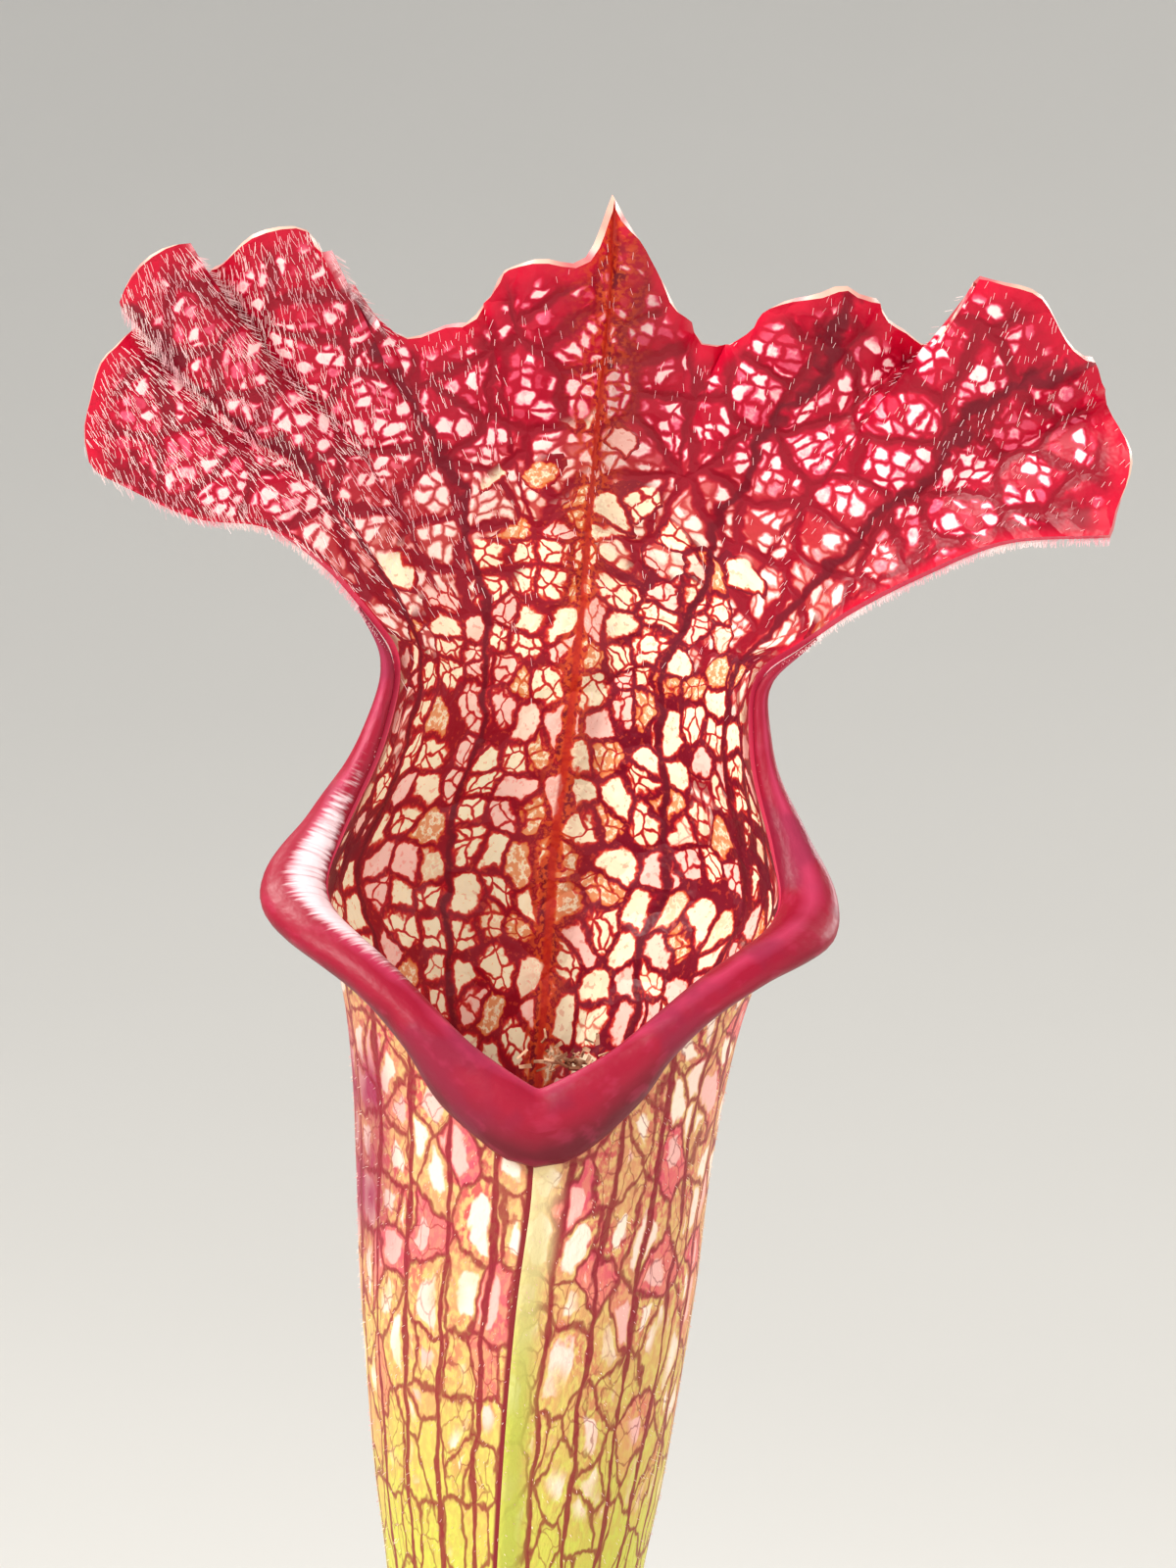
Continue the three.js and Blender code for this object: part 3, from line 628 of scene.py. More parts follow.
# outside points of the whole leaf, with its maps: veins, zone (height, lid share), rim and small windows
def leafGrid(leaf, axis):
    tubeRows, mouthRows, lidRows = leaf["rows"]
    low = leaf["scale"] * lipLow
    high = leaf["scale"] * columnTop
    t = np.linspace(0, 1, tubeRows + 1)
    heights = np.concatenate([-axis[0] * (1 - t) ** 1.5 + low * t, np.linspace(low, high, mouthRows + 1)[1:]])
    sides = np.linspace(-1, 1, leaf["columns"] + 1)
    shares = np.linspace(0, 1, lidRows + 1)[1:]
    wall, around = wallPoints(leaf, axis, heights, sides)
    lid, flatLid = lidPoints(leaf, axis, sides, shares)
    fineness = mouthRows / tallPitcher["rows"][1]
    rows, times = cornerEase
    points = eased(np.concatenate([wall, lid]), len(heights) - 1, rows * fineness, times * fineness ** 2)
    h = heights / leaf["scale"]
    # the map's length: cells are drawn out along the tube, and grow with the lid's fan
    pace = np.interp(h, [-260, -40, 0, 12, columnTop], [0.5, 0.55, 0.62, 0.8, 0.86])
    up = np.concatenate([[0], np.cumsum(np.diff(h) * (pace[1:] + pace[:-1]) / 2)])
    up -= np.interp(0, h, up)
    every = np.concatenate([wall[-1:], lid]) / leaf["scale"]
    reach = np.linalg.norm(np.diff(every, axis=1), axis=2).sum(axis=1) / 2
    rise = np.linalg.norm(np.diff(every, axis=0), axis=2).mean(axis=1)
    span = math.radians(wrap(columnTop)) * netRadius
    lidUp = up[-1] + np.cumsum(rise * span * 2 / (reach[1:] + reach[:-1]) * 0.95)
    net = np.zeros((*points.shape[:2], 2))
    net[..., 0] = np.concatenate([around, np.broadcast_to(sides * span, (len(shares), len(sides)))])
    net[..., 1] = np.concatenate([up, lidUp])[:, None]
    zone = np.zeros_like(net)
    zone[..., 0] = np.concatenate([h, np.full(len(shares), columnTop)])[:, None]
    zone[..., 1] = np.concatenate([np.zeros(len(h)), shares])[:, None]
    # the map of the small windows: the vein map in the column, and the view from the front on the lid
    turn = np.clip(shares / 0.4, 0, 1)
    turn = (turn * turn * (3 - 2 * turn))[:, None, None]
    patch = net.copy()
    patch[len(h):] = net[len(h):] * (1 - turn) + (flatLid[..., [0, 2]] + [0, up[-1] - columnTop]) * turn
    # distance from the leaf's side edge and from its frill
    rim = np.full_like(net, 60.0)
    open_ = h > lipLow
    arc = (np.radians(wrap(h[open_])) * halfWidth(h[open_]))[:, None] * (1 - np.abs(sides))
    rim[: len(h), :, 0][open_] = arc
    rim[len(h):, :, 0] = (reach[1:, None]) * (1 - np.abs(sides))
    length = np.linalg.norm(np.diff(every, axis=0), axis=2)
    rim[len(h):, :, 1] = length.sum(axis=0) - np.cumsum(length, axis=0)
    return points, {"net": net, "zone": zone, "rim": rim, "patch": patch}


def outwards(points):
    along = np.gradient(points, axis=0)
    across = np.gradient(points, axis=1)
    return unit(np.cross(along, across))


def makeLeaf(leaf):
    axis = leafAxis(leaf)
    points, maps = leafGrid(leaf, axis)
    piece = makeSheet(leaf["name"] + "_leaf", points, maps)
    edit(piece, bpy.ops.mesh.flip_normals, mergeSeam)
    for finish in (leafOutside, leafInside, leafRim):  # before the wall, which picks from them
        piece.data.materials.append(finish)
    applyModifier(piece, "SOLIDIFY", thickness=leafWall * mm * min(1, leaf["scale"] + 0.2), offset=-1,
                  material_offset=1, material_offset_rim=2, use_quality_normals=True)
    smooth(piece, 70)
    finishPiece(piece, node=leaf["name"])
    return points, axis


lipForm = {
    "lumps": 0.11, "lumpLength": 4.8, "lidShare": 0.2, "thinned": 0.2, "lidSteps": 0.1, "rightArm": 0.7,
    "blur": 1.2, "cornerEase": (9, 67),
}


def makeLip(leaf, axis):
    count = leaf["lipSteps"] // 2
    down = np.linspace(columnTop, lipLow, count + 1)
    heights = np.concatenate([down, down[::-1][1:]])
    left, _ = wallPoints(leaf, axis, leaf["scale"] * heights[: count + 1], np.array([-1.0]))
    right, _ = wallPoints(leaf, axis, leaf["scale"] * heights[count + 1:], np.array([1.0]))
    # past the column's top it thins out along the lid's lower edges
    beyond = np.linspace(0, lipForm["lidShare"], int(lipForm["lidSteps"] * leaf["lipSteps"]) + 1)[1:]
    leftLid, _ = lidPoints(leaf, axis, np.array([-1.0, 1.0]), beyond)
    rim = np.concatenate([leftLid[::-1, 0], left[:, 0], right[:, 0], leftLid[:, 1]])
    heights = np.concatenate([np.full(len(beyond), columnTop), heights, np.full(len(beyond), columnTop)])
    fade = np.concatenate([beyond[::-1], np.zeros(2 * count + 1), beyond]) / lipForm["lidShare"]
    fineness = leaf["lipSteps"] / tallPitcher["lipSteps"]
    reach, times = lipForm["cornerEase"]
    rim = softened(rim, lipForm["blur"])
    for corner in (len(beyond), len(rim) - 1 - len(beyond)):
        rim = eased(rim, corner, reach * fineness, times * fineness ** 2)
    ending = 1 - (1 - lipForm["thinned"]) * fade
    middle, up, _, _ = axis[1](np.array(0.0))
    along = unit(np.gradient(rim, axis=0))
    out = rim - middle
    out = unit(out - up * (out @ up)[:, None])
    out = unit(out - along * (out * along).sum(1)[:, None])
    under = np.cross(along, out)
    travelled = np.concatenate([[0], np.cumsum(np.linalg.norm(np.diff(rim, axis=0), axis=1))]) / leaf["scale"]
    lump = np.array([noise.noise(Vector((d / lipForm["lumpLength"], 3.1, 0.4))) for d in travelled])
    slim = lipSlim(heights)
    arm = np.interp(heights, [9, 12, 17, 20], [0, 1, 1, 0]) * (np.arange(len(rim)) > len(rim) / 2)
    halfOut = leaf["scale"] * (lipOut(heights) - slim) / 2 * ending * (1 + lipForm["lumps"] * lump)
    halfDown = leaf["scale"] * (lipDown(heights) - slim - lipForm["rightArm"] * arm) / 2 * ending
    halfDown = halfDown * (1 - lipForm["lumps"] * lump)
    centre = rim + out * (halfOut - leaf["scale"] * (lipLap["inwards"] - slim) * ending)[:, None]
    centre = centre + under * (halfDown - leaf["scale"] * lipLap["upwards"] * ending)[:, None]
    turn = turns(leaf["lipSides"])
    rings = centre[:, None] + out[:, None] * (halfOut[:, None] * np.cos(turn))[..., None]
    rings = rings + under[:, None] * (halfDown[:, None] * np.sin(turn))[..., None]
    bead = np.zeros((len(rim), leaf["lipSides"] + 1, 2))
    bead[..., 0] = travelled[:, None]
    bead[..., 1] = np.linspace(0, 1, leaf["lipSides"] + 1)
    piece = makeTube(leaf["name"] + "_lip", rings, {"bead": bead})
    smooth(piece, 80)
    finishPiece(piece, lipWax, leaf["name"])


# The leaf's finishes

# the pattern's sizes and how far it wanders, the scales of its clouds, its colours and the surface
inside = {
    "cell": 7 / 3, "even": 0.8, "smallCell": 1.15, "group": 4.3, "ray": 7, "drift": 2.2, "fine": 0.7,
    "driftScale": 0.19, "fineScale": 0.9, "ragged": (2.4, 2), "wideScale": 0.3, "relief": (0.5, 0.4),
    "cream": (255, 246, 208), "creamPink": (252, 190, 186), "orange": (222, 124, 58), "halo": (214, 70, 44),
    "red": (186, 12, 34), "dark": (146, 4, 30), "shaded": (96, 6, 34), "throatShade": (110, 20, 26),
    "furrowShade": (120, 30, 30), "mainVein": (94, 2, 26), "midrib": (184, 36, 20), "speckle": (216, 84, 34),
    "lidLight": (255, 222, 218), "lidPink": (236, 92, 124), "lidRed": (190, 2, 44), "lidDeep": (164, 2, 38),
    "lidDark": (142, 0, 30), "frill": (208, 4, 48), "roughness": 0.42, "glow": 0.17, "gloss": 0.28,
}
centred = (-0.5, -0.5, 0)


def readMaps(base, *names):
    return [base.node("UVMap", {"uv_map": name}) for name in names]


# two clouds that move the pattern about, a ragged one for its edges and a wide one
def leafClouds(patch, look):
    drift = patch.flatCloud(look["driftScale"], 2, output="Color").shifted(centred)
    fine = patch.flatCloud(look["fineScale"], 2, output="Color").shifted(centred)
    moved = patch.moved(drift, look["drift"]).moved(fine, look["fine"])
    return moved, drift, fine, patch.flatCloud(*look["ragged"]), patch.flatCloud(look["wideScale"], 1)


def makeLeafInside():
    finish, base, shader = newFinish("leafInside")
    net, zone, rim, patch = readMaps(base, "net", "zone", "rim", "patch")
    height, share = zone.part("X"), zone.part("Y")
    sideEdge, frillEdge = rim.part("X"), rim.part("Y")
    place, drift, fine, ragged, wide = leafClouds(patch, inside)
    slack = (inside["even"] - 1) / 2 * inside["cell"]
    place = place.shifted((slack, 0, 0))
    u = net.part("X") + drift.part("X") * inside["drift"] + fine.part("X") * inside["fine"]
    throatShade = height.fade(-4, 10)

    # strong veins run up the leaf, weaker ones stand between them on the lid
    strong = u.maths("PINGPONG", u / inside["ray"], 0.5) * inside["ray"] - (wide - 0.4) * 0.3
    weak = u.maths("PINGPONG", u / inside["ray"] + 0.5, 0.5) * inside["ray"]

    windows = place.edges(inside["cell"], inside["even"])
    near, chance = place.cells(inside["cell"], even=inside["even"])
    luck, luckTwo = chance.part("X"), chance.part("Y")
    # 0 in the column and 1 on the lid, higher beside the midrib, changing from window to window
    aside = abs(net.part("X")).step(0, 11)
    lid = (share - (1 - aside) * 0.26 + (luckTwo - 0.5) * 0.34).step(0.12, 0.17)
    groups = place.edges(inside["group"])
    small = place.edges(inside["smallCell"])
    smallNear, smallChance = place.cells(inside["smallCell"])
    smallLuck = smallChance.part("X")

    # the column's rounded windows, some of them crossed by thin lines
    margin = sideEdge.fade(0.5, 6.5)
    edge = (strong - 0.13).least(windows).least(1.6 - near) + (ragged - 0.5) * 0.26 - margin * 0.16
    # painted shade in the hollow beside the lip's corners, where the windows also fade
    shadedPocket = sideEdge.fade(6, 12.5) * abs(height - 18).fade(3, 9)  # dark beside the lip's corners
    body = (edge - shadedPocket * 0.5).step(0.0, 0.46)
    cracks = small.fade(0.0, 0.19) * (luckTwo - margin * 0.3 + height.step(22, 36) * 0.35).step(0.45, 0.6)
    body = body * (1 - cracks * 0.7)
    column = body.ramp((0.04, inside["dark"]), (0.3, inside["red"]), (0.56, inside["halo"]),
                       (0.86, inside["cream"]))
    shaded = (net.part("X").step(-4, 5) * 0.6 + margin * 0.4) * body.fade(0.1, 0.5)
    column = shaded.tint(column, inside["shaded"])
    column = (luck.step(0.6, 0.85) * body.step(0.4, 0.8) * 0.75).tint(column, inside["creamPink"])
    orange = luck.fade(0.14, 0.22) * body.step(0.2, 0.6) * ragged.step(0.36, 0.56)
    column = (orange * 0.85).tint(column, inside["orange"])
    column = (ragged.fade(0.3, 0.4) * 0.4).tint(column, inside["halo"])
    bleed = sideEdge.fade(0.4, 3.2) * (0.35 + wide)
    column = (bleed * 0.85).tint(column, inside["lidDark"])
    # painted shade darkens that hollow beside the lip's corners
    column = (shadedPocket * (1 - body) * 0.75).tint(column, inside["shaded"])

    # the lid's small windows stand in groups between broad bands
    band = (strong * 1.2).least(weak * 1.5 + 0.1).least(groups - 0.05).step(0.14, 0.6)
    panes = small.least(0.72 - smallNear).step(0.0, 0.3) * smallLuck.step(0.0, 0.45, 0.25, 1)
    panes = panes * (0.7 + 0.6 * ragged)
    border = frillEdge.least(sideEdge * 1.6 + 0.6).fade(0.4, 2.4)
    fading = frillEdge.fade(1, 14) * smallLuck.fade(0.35, 0.7) * 0.7
    shine = band * (0.3 + 0.7 * panes * (1 - fading)) * (1 - border * 0.8)
    lidPaint = shine.ramp((0.04, inside["lidDark"]), (0.2, inside["lidDeep"]), (0.42, inside["lidRed"]),
                          (0.7, inside["lidPink"]), (0.94, inside["lidLight"]))
    warm = share.fade(0.15, 0.6) * (1 - aside * 0.6)
    lidPaint = (warm * shine.step(0.2, 0.6) * 0.8).tint(lidPaint, inside["cream"])
    haloed = warm * shine.step(0.06, 0.2) * shine.fade(0.3, 0.5) * 0.5
    lidPaint = haloed.tint(lidPaint, inside["halo"])
    colour = lid.tint(column, lidPaint)
    colour = (border * lid * 0.85).tint(colour, inside["frill"])

    colour = (strong.fade(0.06, 0.32) * 0.65).tint(colour, inside["mainVein"])

    # orange speckle beside the midrib, painted shade in the furrow to its right, and the midrib
    ribPlace = abs(net.part("X") + drift.part("Y") * 0.6)
    beside = ribPlace.fade(0.3, 2.0) * ragged.step(0.4, 0.6) * (1 - body.step(0.5, 0.9) * 0.6)
    colour = (beside * 0.8).tint(colour, inside["speckle"])
    # painted shade in the crease just right of the midrib
    furrowShade = net.part("X").step(0.2, 0.9) * net.part("X").fade(1.6, 3.6) * (0.15 + wide * 0.35)
    colour = furrowShade.tint(colour, inside["furrowShade"])
    colour = (ribPlace.fade(0.14, 0.42) * 0.85).tint(colour, inside["midrib"])
    # painted shade deep in the throat, below the lip
    colour = (throatShade * 0.45).tint(colour, inside["throatShade"])

    setGlowingSurface(shader, colour, inside, groups.least(1.3).relief(*inside["relief"]))
    return finish


outside = {
    "cell": 2.8, "smallCell": 1.3, "vein": 3.6, "drift": 2.6, "fine": 0.7,
    "driftScale": 0.2, "fineScale": 1.1, "ragged": (1.9, 3), "wideScale": 0.33, "relief": (0.5, 0.25),
    "window": (250, 228, 208), "pink": (228, 84, 108), "flush": (156, 44, 78), "margin": (232, 168, 128),
    "tan": (202, 84, 84), "line": (136, 18, 38), "green": (202, 206, 78), "leaf": (166, 172, 54),
    "base": (112, 122, 44), "keelLine": (128, 30, 36), "strip": (198, 204, 82), "stripTop": (236, 216, 160),
    "lidBack": (246, 212, 194), "lidEdge": (226, 116, 126), "lidLine": (204, 52, 74),
    "roughness": 0.46, "glow": 0.12, "gloss": 0.25,
}


def makeLeafOutside():
    finish, base, shader = newFinish("leafOutside")
    net, zone, patch = readMaps(base, "net", "zone", "patch")
    height, share = zone.part("X"), zone.part("Y")
    place, drift, fine, ragged, wide = leafClouds(patch, outside)
    u = net.part("X") + drift.part("X") * outside["drift"] * 0.7 + fine.part("X") * 0.4
    lid = height.step(18, 34).most(share.step(0, 0.1))
    windowed = (height + (wide - 0.5) * 40).step(-21, -8)
    upper = height.step(-34, 0)
    lower = height.fade(-160, -50)

    long = u.maths("PINGPONG", u / outside["vein"], 0.5) * outside["vein"]
    big = place.edges(outside["cell"])
    near, chance = place.cells(outside["cell"])
    luck, luckTwo = chance.part("X"), chance.part("Z")
    small = place.edges(outside["smallCell"])

    line = (long - (wide - 0.3) * 0.3).fade(0.1, 0.26).most(big.fade(0.06, 0.24) * 0.9)
    thin = small.fade(0.02, 0.09) * luckTwo.step(0.3, 0.6) * (1 - lower * 0.5)
    window = (long - 0.05).least(big).least(1.5 - near) - luckTwo * 0.42
    window = window.step(0.16, 0.4) * windowed

    ground = lower.tint(outside["green"], outside["leaf"])
    ground = height.fade(-235, -170).tint(ground, outside["base"])
    ground = (upper * 0.7).tint(ground, outside["margin"])
    mottle = ragged.step(0.36, 0.6) * (wide.step(0.3, 0.7) * 0.6 + 0.4)
    ground = (mottle * (upper * 0.85 + 0.12) * (1 - lower)).tint(ground, outside["tan"])
    ground = (luck.step(0.8, 0.86) * upper * 0.7).tint(ground, outside["pink"])
    colour = window.tint(ground, outside["window"])
    colour = (window * luck.step(0.55, 0.8) * 0.45).tint(colour, outside["pink"])
    flush = abs(net.part("X") + 25).fade(2, 8) * abs(height - 2).fade(3, 13) * (0.35 + wide)
    colour = flush.tint(colour, outside["flush"])
    backPaint = ((big - wide * 0.2).step(0.1, 0.6)).tint(outside["lidEdge"], outside["lidBack"])
    colour = lid.tint(colour, backPaint)
    lineColour = lid.tint(outside["line"], outside["lidLine"])
    strength = line * (0.92 - 0.6 * height.fade(-200, -70))
    colour = strength.tint(colour, lineColour)
    colour = (thin * 0.55).tint(colour, lineColour)

    # the keel: a dark line at the seam with a plain strip to its right
    seam = net.part("X")
    half = math.pi * netRadius
    below = height.fade(4, 9)
    strip = (seam + (wide - 0.5)).step(half - 2.7, half - 0.9)
    stripPaint = height.step(-18, 2).tint(outside["strip"], outside["stripTop"])
    colour = (strip * below * 0.85).tint(colour, stripPaint)
    colour = ((seam + half).fade(0.3, 0.6) * below).tint(colour, outside["keelLine"])

    setGlowingSurface(shader, colour, outside, ragged.relief(*outside["relief"]))
    return finish


# the pale colour is a painted highlight where the back light catches the frill's cut edge
rimPaint = {"red": (200, 40, 74), "pale": (240, 190, 168), "roughness": 0.4, "glow": 0.12, "gloss": 0.5}


def makeLeafRim():
    finish, base, shader = newFinish("leafRim")
    zone, patch = readMaps(base, "zone", "patch")
    # painted highlight along the frill's top edge, broken up by a cloud
    frill = zone.part("Y").step(0.97, 0.995) * patch.flatCloud(0.3, 2).step(0.3, 0.6, 0.2, 1)
    colour = frill.tint(rimPaint["red"], rimPaint["pale"])
    setGlowingSurface(shader, colour, rimPaint)
    return finish


# the near-white flush colour is a painted highlight at the left corner, the pale colour is a painted
# highlight along the top that also tints the streaks, and the darkest colour is painted shade underneath
lipPaint = {
    "crimson": (156, 8, 44), "shadeUnder": (104, 0, 26), "pale": (192, 54, 90), "wine": (126, 24, 56),
    "flush": (255, 232, 236), "highlightPlace": (25, 0.67),  # along the lip in mm, and round its section
    "roughness": 0.46, "gloss": 0.32, "glow": 0.08, "relief": (0.7, 0.6),
}


def makeLipWax():
    finish, base, shader = newFinish("lipWax")
    place = ownPlace(base)
    bead = base.node("UVMap", {"uv_map": "bead"})
    streaks = bead.stretched((0.5, 9, 1)).flatCloud(1.0, 3)
    patches = place.cloud(150, 3)
    # 0 underneath and 1 on top, round the bead's section, for painted shade underneath and a painted
    # highlight on top
    height = base.maths("PINGPONG", bead.part("Y") - 0.26, 0.5) * 2 + (patches - 0.5) * 0.5
    colour = height.ramp((0.3, lipPaint["shadeUnder"]), (0.6, lipPaint["crimson"]), (0.84, lipPaint["crimson"]),
                         (1.0, lipPaint["pale"]))
    colour = (patches.step(0.5, 0.64) * 0.55).tint(colour, lipPaint["wine"])
    colour = (streaks.step(0.55, 0.75) * 0.25).tint(colour, lipPaint["pale"])
    # a painted near-white highlight on the left corner, broken up by a cloud
    along, section = lipPaint["highlightPlace"]
    down = bead.stretched((3.5, 4, 1)).flatCloud(1.0, 3)
    flush = abs(bead.part("X") - along).fade(3, 15) * abs(bead.part("Y") - section).fade(0.03, 0.18)
    flush = (flush + (down - 0.5) * 1.3).step(0.2, 1.0) * (flush * 3).least(1)
    colour = (flush * 0.9).tint(colour, lipPaint["flush"])
    lumps = patches + streaks * 0.25
    setGlowingSurface(shader, colour, lipPaint, lumps.relief(*lipPaint["relief"]))
    return finish


leafInside = makeLeafInside()
leafOutside = makeLeafOutside()
leafRim = makeLeafRim()
lipWax = makeLipWax()
print("leaf finishes made")

tallGrid, tallAxis = makeLeaf(tallPitcher)
makeLip(tallPitcher, tallAxis)
print("tall pitcher made")

for leaf in shortPitchers:
    _, axis = makeLeaf(leaf)
    makeLip(leaf, axis)
print("short pitchers made")


# Hairs on the tall pitcher

hairs = {
    "count": 4600, "fringe": 2000, "length": (0.8, 2.5), "fringeLength": (0.5, 1.5), "radius": 0.02,
    "everywhere": 0.07, "leftWing": 3.4, "rightWing": 0.35, "rowsBelow": 6, "fringeBelow": 12,
    "bend": 2.52, "finishName": "paleHair",
    "finish": {"colours": ((238, 212, 208), (226, 170, 176)), "scale": 260, "detail": 1, "ends": (0.4, 0.65),
               "rough": 0.35, "glow": 0.3},
}
fuzz = {
    "count": 7500, "length": (0.28, 0.5), "radius": 0.022, "bend": 3, "fromRow": 20, "finishName": "tubeFuzz",
    "finish": {**hairs["finish"], "colours": ((246, 226, 206), (226, 170, 176)), "glow": 0.2},
}
spikeSteps = [(0.45, 0.75, 0.25), (0.33, 0.6, 0.4), (0.22, 0.02, 0.35)]  # rise, narrowing, share of the bend


# a three-sided spike, one long and one in radius, bent over towards its tip
def makeSpike(name, bend):
    pick()
    bpy.ops.mesh.primitive_circle_add(vertices=3, radius=1)
    spike = bpy.context.active_object
    spike.name = name
    for rise, narrow, share in spikeSteps:
        edit(spike, lambda: extrudeTop(spike, rise, narrow, bend * share))
    return spike


# pulls the highest edges of the spike up by one step, narrowed and moved sideways
def extrudeTop(spike, rise, narrow, lean):
    mesh = bmesh.from_edit_mesh(spike.data)
    top = max(v.co.z for v in mesh.verts)
    for edge in mesh.edges:
        edge.select_set(all(v.co.z > top - 1e-4 for v in edge.verts))
    mesh.select_flush_mode()
    bpy.ops.mesh.extrude_edges_move(TRANSFORM_OT_translate={"value": (lean, 0, rise)})
    bpy.ops.transform.resize(value=(narrow, narrow, 1))


# places spread over a grid of points, more where weights[row, column] is larger
def scatterOn(points, weights, count):
    rise, run = points[1:, :-1] - points[:-1, :-1], points[:-1, 1:] - points[:-1, :-1]
    area = np.linalg.norm(np.cross(rise, run), axis=2)
    chance = (area * weights[:-1, :-1]).ravel()
    cells = rng.choice(len(chance), count, p=chance / chance.sum())
    row, column = np.divmod(cells, points.shape[1] - 1)
    s, t = rng.random((2, count, 1))
    places = (points[row, column] * (1 - s) * (1 - t) + points[row, column + 1] * s * (1 - t)
              + points[row + 1, column] * (1 - s) * t + points[row + 1, column + 1] * s * t)
    return places, row, column


# spikes that stand along given directions, in one piece
def makeSpikes(name, form, places, directions, radii, lengths):
    up = unit(directions)
    side = unit(np.cross(up, rng.normal(size=up.shape)))
    thick = np.reshape(radii, (-1, 1))
    frames = np.stack([side * thick, np.cross(up, side) * thick, up * lengths[:, None]], axis=2)
    piece = makeCopies(name, makeSpike(name + "_shape", form["bend"]), places, frames)
    finishPiece(piece, grainFinish(form["finishName"], **form["finish"]))


def makeLidHairs(grid):
    tubeRows, mouthRows, lidRows = tallPitcher["rows"]
    start = tubeRows + mouthRows - hairs["rowsBelow"]
    lid = grid[start:]
    normals = -outwards(grid)[start:]  # out of the lid's inner face, towards the viewer
    sides = np.linspace(-1, 1, lid.shape[1])[None, :]
    share = np.clip((np.arange(len(lid)) - hairs["rowsBelow"]) / lidRows, 0, 1)[:, None]
    # most of them stand on the left wing, and few near the column
    weights = hairs["everywhere"] + hairs["leftWing"] * np.clip(-sides - 0.2, 0, 0.5) * share
    weights = weights + hairs["rightWing"] * np.clip(sides - 0.3, 0, 0.5) * share
    weights = weights * np.clip(share * 4 + 0.25, 0, 1)
    places, row, column = scatterOn(lid, weights, hairs["count"])
    normal = normals[row, column]
    places = places + normal * leafWall
    side = sides[0, column]
    down = np.stack([-0.5 * side, np.full(len(places), -0.1), np.full(len(places), -1.0)], axis=1)
    down = down + 0.2 * rng.normal(size=places.shape)
    down = down - normal * (down * normal).sum(1)[:, None]
    direction = unit(0.62 * normal + 0.8 * unit(down))
    low, high = hairs["length"]
    left = np.clip(-side, 0, 1) ** 0.5
    lengths = low + (high - low) * rng.random(len(places)) * (0.35 + 0.65 * left)
    # the fringe along the lid's lower edges
    rows = grid[tubeRows + mouthRows - hairs["fringeBelow"]:]
    edgePlaces, edgeAims = [], []
    for edge, inner in ((0, 3), (-1, -4)):
        line = rows[:, edge]
        out = unit(line - rows[:, inner])
        at = rng.random(hairs["fringe"] // 2) * (len(line) - 1.01)
        k, f = at.astype(int), (at % 1)[:, None]
        edgePlaces.append(line[k] * (1 - f) + line[k + 1] * f)
        edgeAims.append(out[k] + np.array([0, -0.35, -0.5]) + 0.3 * rng.normal(size=(len(k), 3)))
    low, high = hairs["fringeLength"]
    places = np.concatenate([places, *edgePlaces])
    direction = np.concatenate([direction, unit(np.concatenate(edgeAims))])
    lengths = np.concatenate([lengths, low + (high - low) * rng.random(len(places) - len(lengths))])
    makeSpikes("lid_hairs", hairs, places, direction, hairs["radius"], lengths)


def makeTubeFuzz(grid):
    rows = slice(fuzz["fromRow"], tallPitcher["rows"][0] + 2)
    tube = grid[rows]
    places, row, column = scatterOn(tube, np.ones(tube.shape[:2]), fuzz["count"])
    direction = outwards(grid)[rows][row, column] + np.array([0, 0, -0.5])
    direction = direction + 0.25 * rng.normal(size=places.shape)
    low, high = fuzz["length"]
    lengths = low + (high - low) * rng.random(len(places))
    makeSpikes("tube_fuzz", fuzz, places, direction, fuzz["radius"], lengths)


makeLidHairs(tallGrid)
makeTubeFuzz(tallGrid)
print("hairs set")


debris = {
    "at": (11.8, -9.8, 333.9), "spread": 1.3, "count": 46, "length": (0.7, 2.4), "radius": (0.08, 0.22),
    "bend": 2.5, "finishName": "dryFibre",
    "finish": {"colours": ((222, 176, 140), (146, 92, 62)), "scale": 700, "detail": 2, "ends": (0.4, 0.6)},
}


# dry crumbs and fibres caught where the mouth is lowest
def makeDebris():
    count = debris["count"]
    places = np.array(debris["at"]) + rng.normal(size=(count, 3)) * debris["spread"] * [1, 0.45, 0.5]
    directions = rng.normal(size=(count, 3)) * [1, 0.5, 0.5]
    radii = rng.uniform(*debris["radius"], count)
    makeSpikes("mouth_debris", debris, places, directions, radii, rng.uniform(*debris["length"], count))


makeDebris()
print("debris set")


# The furled pitcher, the flat leaves and the rootstock

def pathFrame(path, share, face):
    along = unit(path(share + 0.01) - path(share - 0.01))
    face = np.array(face, float)
    facing = unit(face - along * (along @ face)[:, None])
    return along, facing, np.cross(along, facing)


# rings round a path with their width and depth, and a map (round, along) in millimetres
def pathRings(path, shares, face, sides, width, depth):
    _, facing, across = pathFrame(path, shares, face)
    turn = turns(sides)
    rings = path(shares)[:, None] + facing[:, None] * (depth[:, None] * np.cos(turn))[..., None]
    rings = rings + across[:, None] * (width[:, None] * np.sin(turn))[..., None]
    length = np.linalg.norm(np.diff(path(np.linspace(0, 1, 50)), axis=0), axis=1).sum()
    ringMap = np.zeros((len(shares), sides + 1, 2))
    ringMap[..., 0] = np.linspace(-1, 1, sides + 1)
    ringMap[..., 1] = (shares * length)[:, None]
    return rings, ringMap


